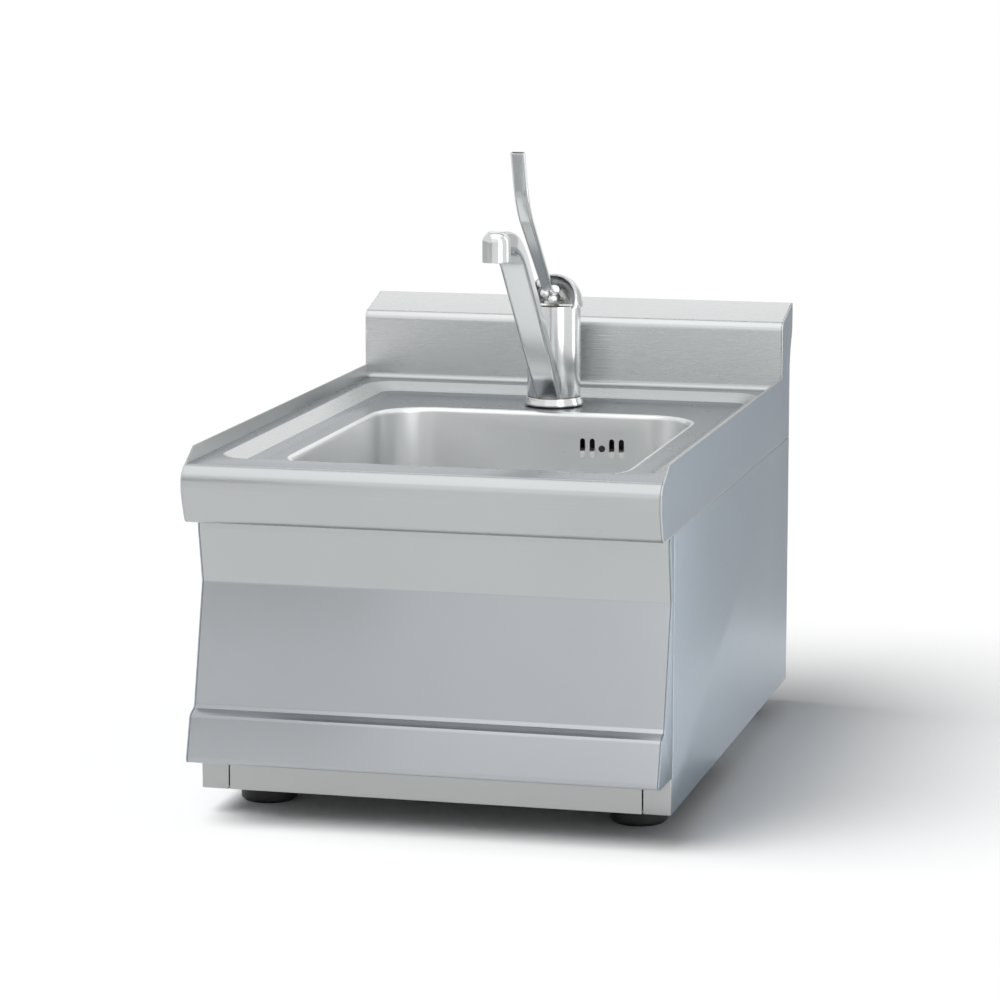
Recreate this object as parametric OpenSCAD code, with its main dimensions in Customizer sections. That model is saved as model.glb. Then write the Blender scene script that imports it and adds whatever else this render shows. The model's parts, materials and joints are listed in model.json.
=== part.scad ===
// Stainless steel hand wash sink: a counter unit with a pressed bowl, a hooded splashback,
// a folded front and a long-lever mixer tap.
// Millimetres. The origin is on the floor under the middle of the unit, the front faces -Y.

/* [Unit] */
// Width of the unit across the side panels
unit_w = 400; // [380:1:600]
// Depth of the unit from the nosing to the back of the splashback
unit_d = 600; // [580:1:700]
// Height of the worktop rim above the lower edge of the body
rim_h = 280; // [260:1:320]
// Height of the adjustable feet at their shortest
foot_h = 21; // [18:1:30]
// Thickness of the worktop sheet
top_t = 1.5; // [1:0.1:2]
// Thickness of the body sheet
body_t = 1.2; // [0.8:0.1:1.5]

/* [Worktop] */
// Height of the upturned side edges above the rim
upstand_h = 12; // [8:0.5:20]
// Height of the splashback above the rim at its back
splash_h = 76; // [60:1:120]
// Depth of the splashback box from front to back
splash_d = 53; // [40:1:70]
// Fall of the splashback's sloping top from back to front
splash_fall = 12; // [5:1:20]
// Height of the front nosing, from the rim to its lower edge
nose_h = 49; // [40:1:60]
// Run of the nosing from its foremost point back to its lower edge
nose_run = 15; // [10:1:20]
// Depth of the recess pressed into the top
recess_drop = 10; // [8:0.5:12]
// Distance from each side of the unit to the recess
recess_side = 13; // [12:0.5:30]
// Distance from the front of the unit to the recess
recess_front = 49; // [40:1:60]
// Distance from the back of the unit to the recess
recess_back = 72; // [70:1:80]
// Corner radius of the recess
recess_r = 28; // [26:0.5:40]

/* [Bowl] */
// Distance from each side of the unit to the inside of the bowl
bowl_side = 56.5; // [55:0.5:80]
// Inside length of the bowl from front to back
bowl_d = 340; // [260:1:345]
// Depth of the bowl below the recess
bowl_h = 150; // [120:1:180]
// Corner radius of the bowl
bowl_r = 45; // [36:1:60]
// Radius between the walls and the bottom of the bowl
bowl_foot_r = 25; // [15:1:30]
// Distance from the back of the unit to the bowl
bowl_back = 168.5; // [165:0.5:180]
// Thickness of the bowl sheet
bowl_t = 1; // [0.8:0.1:1.5]
// Diameter of the waste hole in the bowl
waste_hole_d = 52; // [48:1:54]
// Width of the row of overflow slots, between the outer slots' middles
overflow_row = 36; // [30:1:40]
// Distance of the overflow from the middle of the bowl
overflow_x = 55.5; // [40:0.5:70]
// Depth of the overflow's middle below the recess
overflow_drop = 32; // [28:0.5:40]

/* [Front] */
// Distance from the front of the unit to the front edge of the body
body_front = 46.8; // [42:0.1:55]
// Height of the plinth below the front panel
plinth_h = 30; // [25:1:35]
// Width of the side panels' return flanges on the plinth
plinth_flange = 24; // [18:1:30]
// Distance from the front of the unit to the waist of the front panel
waist_back = 50.2; // [47:0.1:60]
// Height of the waist of the front panel above the plinth
waist_h = 146; // [120:1:160]
// Height of the front panel's lower beak
beak_h = 38.5; // [30:0.5:45]

/* [Tap] */
// Distance from the back of the unit to the tap's axis
tap_back = 123; // [122:1:128]
// Radius of the tap's column
column_r = 24.5; // [22:0.5:26]
// Height of the column above the recess
column_h = 93; // [85:1:110]
// Radius of the tap's foot
tap_foot_r = 27; // [26:0.5:30]
// Height of the tap's foot
tap_foot_h = 8.5; // [7:0.5:10]
// Reach of the spout from the column's axis to the outlet's axis
spout_reach = 217; // [180:1:225]
// Height of the outlet above the recess
outlet_h = 154.5; // [150:0.5:165]
// Width of the spout arm and of the outlet at its end
arm_w = 25; // [22:0.5:28]
// Thickness of the spout arm
arm_t = 15; // [13:0.5:17]
// Radius of the hood over the lever
hood_r = 26.5; // [26:0.1:30]
// Length of the lever's sloping part
lever_len = 136; // [110:1:150]
// Length of the lever's upright end
lever_end_len = 48; // [30:1:60]
// Slope of the lever above the horizontal
lever_slope = 40.5; // [38:0.5:46]

/* [Feet] */
// Radius of a foot's pad
foot_r = 24; // [18:0.5:26]
// Distance of the feet from the sides of the unit
foot_side = 39.5; // [36:0.5:60]
// Distance of the front feet from the front of the unit
foot_front = 108.5; // [100:0.5:130]
// Distance of the back feet from the back of the unit
foot_back = 74; // [66:1:110]
// Travel of the feet
foot_travel = 15; // [10:1:16]

/* [Hidden] */

$fn = 64;
// Overrun of every cut past the face it opens
cut = 1;
// Gap between fixed pieces that lie beside each other
fit_gap = 0.2;
// Gap between pieces that move past each other
move_gap = 0.3;
// Gap of a shaft that turns in its bearing
run_gap = 0.08;
// Steps of a quarter round in a folded sheet
arc_steps = 6;

steel = "#b4b8b7";
dull_steel = "#9aa1a8";
chrome = "#c8ccd0";
brass = "#b5964e";
black = "#1c1c1d";
white = "#e9e9e6";

front_y = -unit_d / 2;
back_y = unit_d / 2;
body_z = foot_h;
rim_z = body_z + rim_h;
deck_z = rim_z - recess_drop;
skirt_z = rim_z - nose_h;

// Points on a round stretch, from angle a0 to a1
function arc(c, r, a0, a1, n = arc_steps) =
    [for (i = [0 : n]) let (a = a0 + (a1 - a0) * i / n) c + r * [cos(a), sin(a)]];
function right_of(a, b) = let (d = (b - a) / norm(b - a)) [d[1], -d[0]];
// The path moved to its right by the sheet's thickness
function beside(p, t) = let (n = len(p))
    [for (i = [0 : n - 1])
        let (u = right_of(p[max(i - 1, 0)], p[max(i, 1)]),
            v = right_of(p[min(i, n - 2)], p[min(i + 1, n - 1)]))
        p[i] + t * (u + v) / (1 + u * v)];
function backward(p) = [for (i = [len(p) - 1 : -1 : 0]) p[i]];
// Cross-section of a sheet whose outer face follows the path
function sheet(p, t) = concat(p, backward(beside(p, t)));
// Points given as shares of a width and a height, from a corner
function scaled(shares, c, w, h) = [for (s = shares) c + [s[0] * w, s[1] * h]];

// Outline of a rectangle with round corners, as a path
function round_path(w, d, r) =
    [for (k = [0 : 3])
        let (c = [(k == 0 || k == 3 ? 1 : -1) * (w / 2 - r), (k < 2 ? 1 : -1) * (d / 2 - r)])
        each arc(c, r, 90 * k, 90 * (k + 1), arc_steps / 2)];

// A profile drawn in Y and Z, drawn out along X about x
module along_x(length, x = 0) {
    translate([x, 0, 0])
        rotate([90, 0, 90])
            linear_extrude(length, center = true)
                children();
}

// A profile drawn in X and Z, drawn out along Y about y = 0
module along_y(length) {
    rotate([90, 0, 0])
        linear_extrude(length, center = true)
            children();
}

// A rectangle with round corners
module round_rect(w, d, r) {
    square([w - 2 * r, d], center = true);
    square([w, d - 2 * r], center = true);
    for (x = [-1, 1], y = [-1, 1])
        translate([x * (w / 2 - r), y * (d / 2 - r)])
            circle(r);
}

// A profile led round a rectangle w by d; its X runs outward from the corners' centres
module led_round(w, d, r) {
    for (i = [0 : 3])
        translate([(i == 0 || i == 3 ? 1 : -1) * (w / 2 - r), (i < 2 ? 1 : -1) * (d / 2 - r), 0])
            rotate([0, 0, 90 * i])
                rotate_extrude(angle = 90)
                    children();
    for (i = [0, 180])
        rotate([0, 0, i]) {
            translate([w / 2 - r, 0, 0])
                along_y(d - 2 * r)
                    children();
            rotate([0, 0, 90])
                translate([d / 2 - r, 0, 0])
                    along_y(w - 2 * r)
                        children();
        }
}

module tube(r_out, r_in, h) {
    difference() {
        cylinder(r = r_out, h = h);
        translate([0, 0, -cut])
            cylinder(r = r_in, h = h + 2 * cut);
    }
}

module for_side(side) {
    if (side > 0) children();
    else mirror([1, 0, 0]) children();
}

// Nosing, as shares of its run and height from the foremost lower corner
nose_share = [[1, 0], [0.72, 0.022], [0.54, 0.085], [0.235, 0.34], [0.03, 0.55],
    [0, 0.63], [0.02, 0.77], [0.12, 0.85], [0.34, 0.927], [0.55, 0.975], [0.76, 1]];
nose_lip = 12;
nose_lip_y = front_y + nose_run + nose_lip;
nose = concat([[nose_lip_y, skirt_z]], scaled(nose_share, [front_y, skirt_z], nose_run, nose_h));

// Splashback: a box on the back of the top, open below, that closes down to the body
splash_y = back_y - splash_d;
splash_z = rim_z + splash_h;
splash_edge_z = splash_z - splash_fall;
splash_round_r = 9;
splash_round_end = 106;
cove_r = 5;
splash_back_h = 24.5;
splash_step_h = 16;
body_back = 12.4;
body_back_y = back_y - body_back;
splash_step_y = back_y - body_back * 2 / 3;
splash_low_z = splash_z - splash_back_h - 2 * splash_step_h;
splash_front = arc([splash_y + splash_round_r, splash_edge_z - splash_round_r], splash_round_r,
    180, splash_round_end);
splash_rear = [[back_y, splash_z], [back_y, splash_z - splash_back_h],
    [splash_step_y, splash_z - splash_back_h - splash_step_h],
    [body_back_y, splash_low_z], [body_back_y, skirt_z]];
splash = concat(arc([splash_y - cove_r, rim_z + cove_r], cove_r, -90, 0),
    splash_front, splash_rear);

// Side of the top: skirt, upstand and the splashback's closed end
upstand_front = 33;
upstand_z = rim_z + upstand_h;
skirt_outline = concat(nose, [[front_y + upstand_front, upstand_z], [splash_y, upstand_z]],
    splash_front, splash_rear);

// Recess: a short soft edge, a slope and a wide fillet into its floor
recess_w = unit_w - 2 * recess_side;
recess_d = unit_d - recess_front - recess_back;
recess_y = (recess_front - recess_back) / 2;
recess_slope = 27.6;
recess_run_share = 1.3;
recess_run = recess_run_share * recess_drop;
recess_edge = 1.5;
recess_fillet_r = (recess_drop - recess_run * tan(recess_slope)) / (1 - cos(recess_slope));
recess_inset = recess_run + recess_fillet_r * sin(recess_slope);
recess_out_r = max(recess_r, recess_inset + recess_edge);
recess_path = concat(
    [[recess_out_r + 2 * recess_edge, rim_z], [recess_out_r + recess_edge, rim_z],
        [recess_out_r - recess_edge, rim_z - recess_edge * tan(recess_slope)]],
    arc([recess_out_r - recess_inset, deck_z + recess_fillet_r], recess_fillet_r,
        recess_slope - 90, -90));

// Bowl: a rolled rim, a wall, a foot radius, and a dish for the waste
bowl_w = unit_w - 2 * bowl_side;
bowl_y = back_y - bowl_back - bowl_d / 2;
bowl_back_y = back_y - bowl_back;
bowl_roll_r = 4;
bowl_floor_z = deck_z - bowl_h;
bowl_lip = bowl_roll_r + cut;
bowl_path = concat(
    [[bowl_r + bowl_lip, deck_z]],
    arc([bowl_r + bowl_roll_r, deck_z - bowl_roll_r], bowl_roll_r, 90, 180),
    arc([bowl_r - bowl_foot_r, bowl_floor_z + bowl_foot_r], bowl_foot_r, 0, -90),
    [[bowl_r - bowl_foot_r - cut, bowl_floor_z]]);
dish_r = 45;
dish_run = 5;
dish_drop = 3.5;
dish_z = bowl_floor_z - dish_drop;

// Overflow: two pairs of upright slots with the screw between them
slot_w = 4.8;
slot_h = 18;
slot_step = overflow_row / 4;
overflow_z = deck_z - overflow_drop;
overflow_screw_r = 3;
overflow_gasket_t = 1.5;
overflow_box_w = 60;
overflow_box_h = 42;
overflow_box_d = 18;
overflow_wall = 2;
overflow_box_y = bowl_back_y + bowl_t + overflow_gasket_t;
overflow_pipe_y = overflow_box_y + (overflow_box_d - overflow_wall) / 2;
overflow_tube_r = 6;
overflow_tube_t = 1.5;
overflow_tube_h = 16;

tap_y = back_y - tap_back;
tap_hole_r = 17.5;

// The recessed top in one sheet with its nosing, upstands and splashback
module worktop() {
    hole_r = recess_out_r + 2 * recess_edge;
    color(steel) {
        difference() {
            along_x(unit_w - 2 * top_t)
                polygon(sheet(concat(nose, splash), top_t));
            translate([0, recess_y, rim_z - top_t - cut])
                linear_extrude(top_t + 2 * cut)
                    round_rect(recess_w + 4 * recess_edge, recess_d + 4 * recess_edge, hole_r);
        }
        translate([0, recess_y, 0])
            led_round(recess_w, recess_d, recess_out_r)
                polygon(concat(recess_path, [for (q = backward(recess_path)) q - [0, top_t]]));
        recess_floor();
        for (s = [-1, 1])
            along_x(top_t, s * (unit_w - top_t) / 2)
                polygon(skirt_outline);
    }
}

module recess_floor() {
    difference() {
        translate([0, recess_y, deck_z - top_t])
            linear_extrude(top_t)
                round_rect(recess_w - 2 * recess_inset, recess_d - 2 * recess_inset,
                    recess_out_r - recess_inset);
        translate([0, bowl_y, deck_z - top_t - cut])
            linear_extrude(top_t + 2 * cut)
                round_rect(bowl_w + 2 * bowl_lip, bowl_d + 2 * bowl_lip, bowl_r + bowl_lip);
        translate([0, tap_y, deck_z - top_t - cut])
            cylinder(r = tap_hole_r, h = top_t + 2 * cut);
    }
}

module sink_bowl() {
    bowl_sheet = concat(bowl_path, backward(beside(bowl_path, -bowl_t)));
    color(steel)
        difference() {
            translate([0, bowl_y, 0]) {
                led_round(bowl_w, bowl_d, bowl_r)
                    polygon(bowl_sheet);
                difference() {
                    translate([0, 0, bowl_floor_z - bowl_t])
                        linear_extrude(bowl_t)
                            round_rect(bowl_w - 2 * bowl_foot_r, bowl_d - 2 * bowl_foot_r,
                                bowl_r - bowl_foot_r);
                    translate([0, 0, bowl_floor_z - bowl_t - cut])
                        cylinder(r = dish_r, h = bowl_t + 2 * cut);
                }
                rotate_extrude()
                    polygon([[dish_r + cut, bowl_floor_z - bowl_t], [dish_r + cut, bowl_floor_z],
                        [dish_r, bowl_floor_z], [dish_r - dish_run, dish_z],
                        [waste_hole_d / 2, dish_z], [waste_hole_d / 2, dish_z - bowl_t],
                        [dish_r - dish_run, dish_z - bowl_t], [dish_r, bowl_floor_z - bowl_t]]);
            }
            overflow_cuts();
        }
}

module overflow_cuts() {
    translate([overflow_x, bowl_back_y + bowl_t + cut, overflow_z])
        rotate([90, 0, 0]) {
            for (i = [-2, -1, 1, 2])
                translate([i * slot_step, 0, 0])
                    linear_extrude(bowl_t + 2 * cut) {
                        square([slot_w, slot_h - slot_w], center = true);
                        for (s = [-1, 1])
                            translate([0, s * (slot_h - slot_w) / 2])
                                circle(slot_w / 2);
                    }
            cylinder(r = overflow_screw_r / 2 + fit_gap, h = bowl_t + 2 * cut);
        }
}

// Angles that stiffen the top's skirt and stand on the side panels
rail_flange = 15;
front_rail_d = 26;
fascia_top_back = 41.2;
module deck_rail(side) {
    rail_x = unit_w / 2 - top_t - body_t;
    rail_y = front_y + fascia_top_back + body_t + front_rail_d + fit_gap;
    rail_l = body_back_y - top_t - rail_y;
    color(dull_steel)
        for_side(side) {
            translate([rail_x, rail_y, skirt_z])
                cube([body_t, rail_l, nose_h - top_t]);
            translate([rail_x - rail_flange, rail_y, skirt_z])
                cube([rail_flange, rail_l, body_t]);
        }
}
module left_deck_rail() { deck_rail(-1); }
module right_deck_rail() { deck_rail(1); }

// Channel behind the front panel: under the rim in front, on the side panels behind
front_rail_top = 18;
module front_rail() {
    web_y = front_y + fascia_top_back + body_t;
    top_z = rim_z - top_t;
    color(dull_steel)
        along_x(unit_w - 2 * top_t - 2 * fit_gap)
            polygon([[web_y + front_rail_d, skirt_z], [web_y, skirt_z], [web_y, top_z - body_t],
                [web_y - front_rail_top, top_z - body_t], [web_y - front_rail_top, top_z],
                [web_y + body_t, top_z], [web_y + body_t, skirt_z + body_t],
                [web_y + front_rail_d, skirt_z + body_t]]);
}

// Screws that hold the rear panel to the side panels' returns
screw_r = 2;
screw_head_r = 4;
screw_head_h = 2;
screw_l = 8;
screw_in = 11;
rear_screw_rows = [for (i = [0 : 2])
    body_z + plinth_h + i * (skirt_z - body_z - 2 * plinth_h) / 2];

module rear_screw_holes(side) {
    for (z = rear_screw_rows)
        translate([side * (unit_w / 2 - body_t - screw_in), body_back_y + cut, z])
            rotate([90, 0, 0])
                cylinder(r = screw_r + fit_gap / 2, h = 2 * body_t + 2 * cut);
}

// Side panels: flat webs with returned edges all round
body_fold = 8.5;
side_return = 22;
module side_panel(side) {
    web_x = unit_w / 2 - body_t;
    plinth_y = front_y + body_front;
    web_y = plinth_y + body_fold;
    color(dull_steel)
        difference() {
            for_side(side) {
                along_x(body_t, unit_w / 2 - body_t / 2)
                    polygon([[plinth_y, body_z], [body_back_y, body_z], [body_back_y, skirt_z],
                        [web_y, skirt_z], [web_y, body_z + plinth_h],
                        [plinth_y, body_z + plinth_h]]);
                translate([unit_w / 2 - plinth_flange, plinth_y, body_z])
                    cube([plinth_flange - body_t, body_t, plinth_h]);
                translate([web_x - side_return, web_y, body_z + plinth_h])
                    cube([side_return, body_t, skirt_z - body_z - plinth_h]);
                translate([web_x - side_return, web_y, skirt_z - body_t])
                    cube([side_return, body_back_y - web_y, body_t]);
                translate([web_x - side_return, body_back_y - body_t, body_z])
                    cube([side_return, body_t, skirt_z - body_z]);
                translate([web_x - side_return, plinth_y, body_z])
                    cube([side_return, body_back_y - plinth_y, body_t]);
            }
            rear_screw_holes(side);
        }
}
module left_side_panel() { side_panel(-1); }
module right_side_panel() { side_panel(1); }

stem_r = 5;
foot_places = [for (x = [-1, 1], y = [front_y + foot_front, back_y - foot_back])
    [x * (unit_w / 2 - foot_side), y]];

// Tray between the side panels, open in the middle for the waste
base_open_w = 200;
base_open_d = 220;
hose_hole_w = 60;
hose_hole_d = 40;
panel_round = 8;
module base_panel() {
    tray_w = unit_w - 2 * body_t - 2 * fit_gap;
    lip_w = unit_w - 2 * plinth_flange - 2 * fit_gap;
    tray_y = front_y + body_front + body_t;
    tray_d = body_back_y - body_t - tray_y;
    color(steel)
        difference() {
            union() {
                translate([-tray_w / 2, tray_y, body_z + body_t])
                    cube([tray_w, tray_d, body_t]);
                translate([-lip_w / 2, tray_y - body_t, body_z])
                    cube([lip_w, body_t, plinth_h]);
            }
            translate([0, bowl_y, body_z + body_t - cut])
                linear_extrude(body_t + 2 * cut)
                    round_rect(base_open_w, base_open_d, panel_round);
            translate([0, tap_y + inlet_y, body_z + body_t - cut])
                linear_extrude(body_t + 2 * cut)
                    round_rect(hose_hole_w, hose_hole_d, panel_round);
            for (p = foot_places)
                translate([p[0], p[1], body_z])
                    cylinder(r = stem_r + cut, h = 2 * body_t + cut);
        }
}

// Back of the body with its opening for pipes
rear_open_w = 240;
rear_open_h = 110;
rear_open_z = 50;
module rear_panel() {
    panel_w = unit_w - 2 * body_t - 2 * fit_gap;
    panel_y = body_back_y - body_t;
    panel_z = body_z + 2 * body_t;
    color(dull_steel)
        difference() {
            translate([-panel_w / 2, panel_y - body_t, panel_z])
                cube([panel_w, body_t, skirt_z - body_t - fit_gap - panel_z]);
            translate([0, panel_y + cut, body_z + rear_open_z + rear_open_h / 2])
                rotate([90, 0, 0])
                    linear_extrude(body_t + 2 * cut)
                        round_rect(rear_open_w, rear_open_h, panel_round);
            for (s = [-1, 1])
                rear_screw_holes(s);
        }
}

module panel_screws() {
    color(chrome)
        for (s = [-1, 1], z = rear_screw_rows)
            translate([s * (unit_w / 2 - body_t - screw_in), body_back_y, z])
                rotate([-90, 0, 0])
                    difference() {
                        rotate_extrude()
                            polygon([[0, -screw_l], [screw_r, -screw_l], [screw_r, 0],
                                [screw_head_r, 0], [screw_head_r, screw_head_h / 3],
                                [screw_head_r / 2, screw_head_h], [0, screw_head_h]]);
                        for (a = [0, 90])
                            rotate([0, 0, a])
                                translate([-screw_r, -screw_r / 6, screw_head_h / 2])
                                    cube([2 * screw_r, screw_r / 3, screw_head_h]);
                    }
}

// Front panel: from behind the nosing in to the waist, then out to the beak over the plinth
fascia_z = body_z + plinth_h;
fascia_rise = 12;
fascia_top_share = 0.205;
waist_soft_share = 0.06;
beak_run = 24;
beak_tip_back = 2.2;
beak_return = 52;
// Groove, ledge and leaning face of the beak, as shares of its run and height
beak_share = [[1, 1.31], [0.975, 1.21], [0.867, 1.13], [0.64, 1.08], [0.49, 1.036],
    [0.425, 0.977], [0.02, 0.177], [0, 0.1], [0.058, 0.047], [0.25, 0.02]];
waist_soft = waist_soft_share * nose_h;
fascia = concat(
    [[front_y + fascia_top_back, skirt_z + fascia_rise],
        [front_y + fascia_top_back, skirt_z - fascia_top_share * nose_h],
        [front_y + waist_back - waist_soft / 2, fascia_z + waist_h + 2 * waist_soft],
        [front_y + waist_back, fascia_z + waist_h],
        [front_y + waist_back - waist_soft / 2, fascia_z + waist_h - 2 * waist_soft]],
    scaled(beak_share, [front_y + beak_tip_back, fascia_z], beak_run, beak_h),
    [[front_y + beak_return, fascia_z]]);

module front_panel() {
    color(steel)
        along_x(unit_w - 2 * (cheek_inset + body_t + fit_gap))
            polygon(concat(fascia, backward(beside(fascia, -body_t))));
}

// Cheeks that close the ends of the front panel
cheek_inset = 0.8;
module front_cheek(side) {
    cheek_y = front_y + body_front + body_fold - fit_gap;
    color(steel)
        for_side(side)
            along_x(body_t, unit_w / 2 - cheek_inset - body_t / 2)
                polygon(concat([for (p = fascia) [p[0], min(p[1], skirt_z - fit_gap)]],
                    [[cheek_y, fascia_z], [cheek_y, skirt_z - fit_gap]]));
}
module left_front_cheek() { front_cheek(-1); }
module right_front_cheek() { front_cheek(1); }

// A block centred on the overflow, from y backwards
module overflow_block(w, h, y, d) {
    translate([overflow_x - w / 2, y, overflow_z - h / 2])
        cube([w, d, h]);
}

module overflow_gasket() {
    color(black)
        difference() {
            overflow_block(overflow_box_w, overflow_box_h, bowl_back_y + bowl_t, overflow_gasket_t);
            overflow_block(overflow_box_w - 4 * overflow_wall, overflow_box_h - 4 * overflow_wall,
                bowl_back_y + bowl_t - cut, overflow_gasket_t + 2 * cut);
        }
}

// Box behind the slots; its screw boss stands in the middle of the cavity
overflow_boss_r = 4;
module overflow_housing() {
    cavity_w = overflow_box_w - 2 * overflow_wall;
    cavity_h = overflow_box_h - 2 * overflow_wall;
    color(black)
        difference() {
            union() {
                difference() {
                    overflow_block(overflow_box_w, overflow_box_h, overflow_box_y, overflow_box_d);
                    overflow_block(cavity_w, cavity_h, overflow_box_y - cut,
                        overflow_box_d - overflow_wall + cut);
                }
                translate([overflow_x, overflow_box_y + overflow_box_d - overflow_wall, overflow_z])
                    rotate([90, 0, 0])
                        cylinder(r = overflow_boss_r, h = overflow_box_d - overflow_wall);
            }
            translate([overflow_x, overflow_pipe_y, overflow_z - overflow_box_h / 2 - cut])
                cylinder(r = overflow_tube_r + overflow_tube_t + fit_gap,
                    h = overflow_wall + 2 * cut);
            translate([overflow_x, overflow_box_y + overflow_screw_l, overflow_z])
                rotate([90, 0, 0])
                    cylinder(r = overflow_screw_r / 2 + fit_gap / 2,
                        h = overflow_screw_l + cut);
        }
}

// Trough in the bottom of the housing with the spigot that takes the pipe
trough_share = 0.36;
module overflow_insert() {
    trough_w = overflow_box_w - 2 * overflow_wall - 2 * fit_gap;
    trough_d = overflow_box_d - overflow_wall - 2 * fit_gap;
    trough_z = overflow_z - overflow_box_h / 2 + overflow_wall;
    trough_h = overflow_z - slot_h / 2 + trough_share * slot_h - trough_z;
    color(white)
        difference() {
            union() {
                difference() {
                    translate([overflow_x - trough_w / 2, overflow_box_y + fit_gap, trough_z])
                        cube([trough_w, trough_d, trough_h]);
                    translate([overflow_x - trough_w / 2 + overflow_tube_t,
                        overflow_box_y + fit_gap + overflow_tube_t, trough_z + overflow_wall])
                        cube([trough_w - 2 * overflow_tube_t, trough_d - 2 * overflow_tube_t,
                            trough_h]);
                }
                translate([overflow_x, overflow_pipe_y, trough_z - overflow_tube_h])
                    cylinder(r = overflow_tube_r + overflow_tube_t, h = overflow_tube_h);
            }
            translate([overflow_x, overflow_pipe_y, trough_z - overflow_tube_h - cut])
                cylinder(r = overflow_tube_r, h = overflow_tube_h + overflow_wall + 2 * cut);
            translate([overflow_x, overflow_box_y + overflow_box_d, overflow_z])
                rotate([90, 0, 0])
                    cylinder(r = overflow_boss_r + fit_gap, h = overflow_box_d);
        }
}

overflow_screw_l = 12;
overflow_head_h = 0.8;
module overflow_screw() {
    color(black)
        translate([overflow_x, bowl_back_y, overflow_z])
            rotate([90, 0, 0])
                difference() {
                    union() {
                        cylinder(r = overflow_screw_r, h = overflow_head_h);
                        translate([0, 0, -overflow_screw_l])
                            cylinder(r = overflow_screw_r / 2, h = overflow_screw_l);
                    }
                    translate([-overflow_screw_r, -fit_gap, overflow_head_h / 2])
                        cube([2 * overflow_screw_r, 2 * fit_gap, overflow_head_h]);
                }
}

// Waste under the bowl: the cup, its spider for the screw, and the overflow's side inlet
waste_flange_r = 38;
waste_flange_t = 1.6;
strainer_wall = 1.4;
strainer_h = 9;
waste_seal_t = 2.5;
waste_seal_r = 35;
cup_wall = 3;
cup_h = 44;
cup_r = 31;
cup_taper = 12;
cup_top_z = dish_z - bowl_t - waste_seal_t;
cup_z = cup_top_z - cup_h;
outlet_thread_r = 23.5;
outlet_thread_h = 16;
tail_r = 20;
tail_t = 2;
spider_z = cup_z + cup_taper + 2 * cup_wall;
spider_h = 5;
spider_r = 5;
waste_screw_r = 3;
pipe_r = overflow_tube_r + overflow_tube_t + fit_gap / 2;
pipe_t = 1.6;
pipe_bend_r = 28;
pipe_share = 0.43;
pipe_z = cup_top_z - pipe_share * cup_h;
pipe_turn = atan2(bowl_y - overflow_pipe_y, -overflow_x);
pipe_run = norm([overflow_x, overflow_pipe_y - bowl_y]);
inlet_l = 22;

module waste_strainer() {
    hole_r = 3.4;
    ring = waste_hole_d / 2 - fit_gap - strainer_wall;
    color(chrome)
        translate([0, bowl_y, dish_z])
            difference() {
                rotate_extrude()
                    polygon([[0, 0], [ring, 0], [ring, -strainer_h],
                        [ring + strainer_wall, -strainer_h], [ring + strainer_wall, 0],
                        [waste_flange_r, 0], [waste_flange_r, waste_flange_t / 2],
                        [waste_flange_r - waste_flange_t, waste_flange_t],
                        [ring, waste_flange_t], [ring - waste_flange_t, strainer_wall],
                        [0, strainer_wall]]);
                for (i = [0 : 5])
                    rotate([0, 0, 60 * i])
                        translate([ring * 0.45, 0, -cut])
                            cylinder(r = hole_r, h = strainer_wall + 2 * cut);
                for (i = [0 : 11])
                    rotate([0, 0, 30 * i + 15])
                        translate([ring * 0.79, 0, -cut])
                            cylinder(r = hole_r * 0.8, h = strainer_wall + 2 * cut);
                translate([0, 0, -cut])
                    cylinder(r = waste_screw_r + fit_gap, h = strainer_wall + 2 * cut);
            }
}

module waste_seal() {
    color(black)
        translate([0, bowl_y, cup_top_z])
            tube(waste_seal_r, waste_hole_d / 2, waste_seal_t);
}

module waste_body() {
    rim = waste_seal_r + fit_gap;
    color(black)
        translate([0, bowl_y, 0])
            difference() {
                union() {
                    rotate_extrude()
                        polygon([[rim, cup_top_z], [rim, cup_top_z - cup_wall],
                            [cup_r, cup_top_z - 2 * cup_wall], [cup_r, cup_z + cup_taper],
                            [outlet_thread_r, cup_z], [outlet_thread_r, cup_z - outlet_thread_h],
                            [tail_r - tail_t, cup_z - outlet_thread_h], [tail_r - tail_t, cup_z],
                            [cup_r - cup_wall, cup_z + cup_taper + cup_wall],
                            [cup_r - cup_wall, cup_top_z]]);
                    translate([0, 0, spider_z])
                        cylinder(r = spider_r, h = spider_h + cup_taper);
                    for (i = [0 : 2])
                        rotate([0, 0, pipe_turn + 120 * i])
                            translate([0, -cup_wall / 2, spider_z])
                                cube([cup_r - cup_wall / 2, cup_wall, spider_h]);
                    rotate([0, 0, pipe_turn + 180])
                        translate([0, 0, pipe_z])
                            rotate([0, 90, 0])
                                translate([0, 0, cup_r - cup_wall / 2])
                                    cylinder(r = overflow_tube_r + overflow_tube_t, h = inlet_l);
                }
                rotate([0, 0, pipe_turn + 180])
                    translate([0, 0, pipe_z])
                        rotate([0, 90, 0])
                            translate([0, 0, cup_r - 2 * cup_wall])
                                cylinder(r = overflow_tube_r, h = inlet_l + 3 * cup_wall);
                translate([0, 0, spider_z - cut])
                    cylinder(r = waste_screw_r + fit_gap / 2, h = spider_h + cup_taper + 2 * cut);
            }
}

module waste_screw() {
    head_r = 7;
    head_h = 2.4;
    color(chrome)
        translate([0, bowl_y, dish_z + strainer_wall])
            difference() {
                rotate_extrude()
                    polygon([[0, spider_z - dish_z], [waste_screw_r, spider_z - dish_z],
                        [waste_screw_r, 0], [head_r, 0], [head_r, head_h / 3],
                        [head_r * 0.6, head_h], [0, head_h]]);
                translate([-head_r, -waste_screw_r / 6, head_h / 2])
                    cube([2 * head_r, waste_screw_r / 3, head_h]);
            }
}

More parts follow.
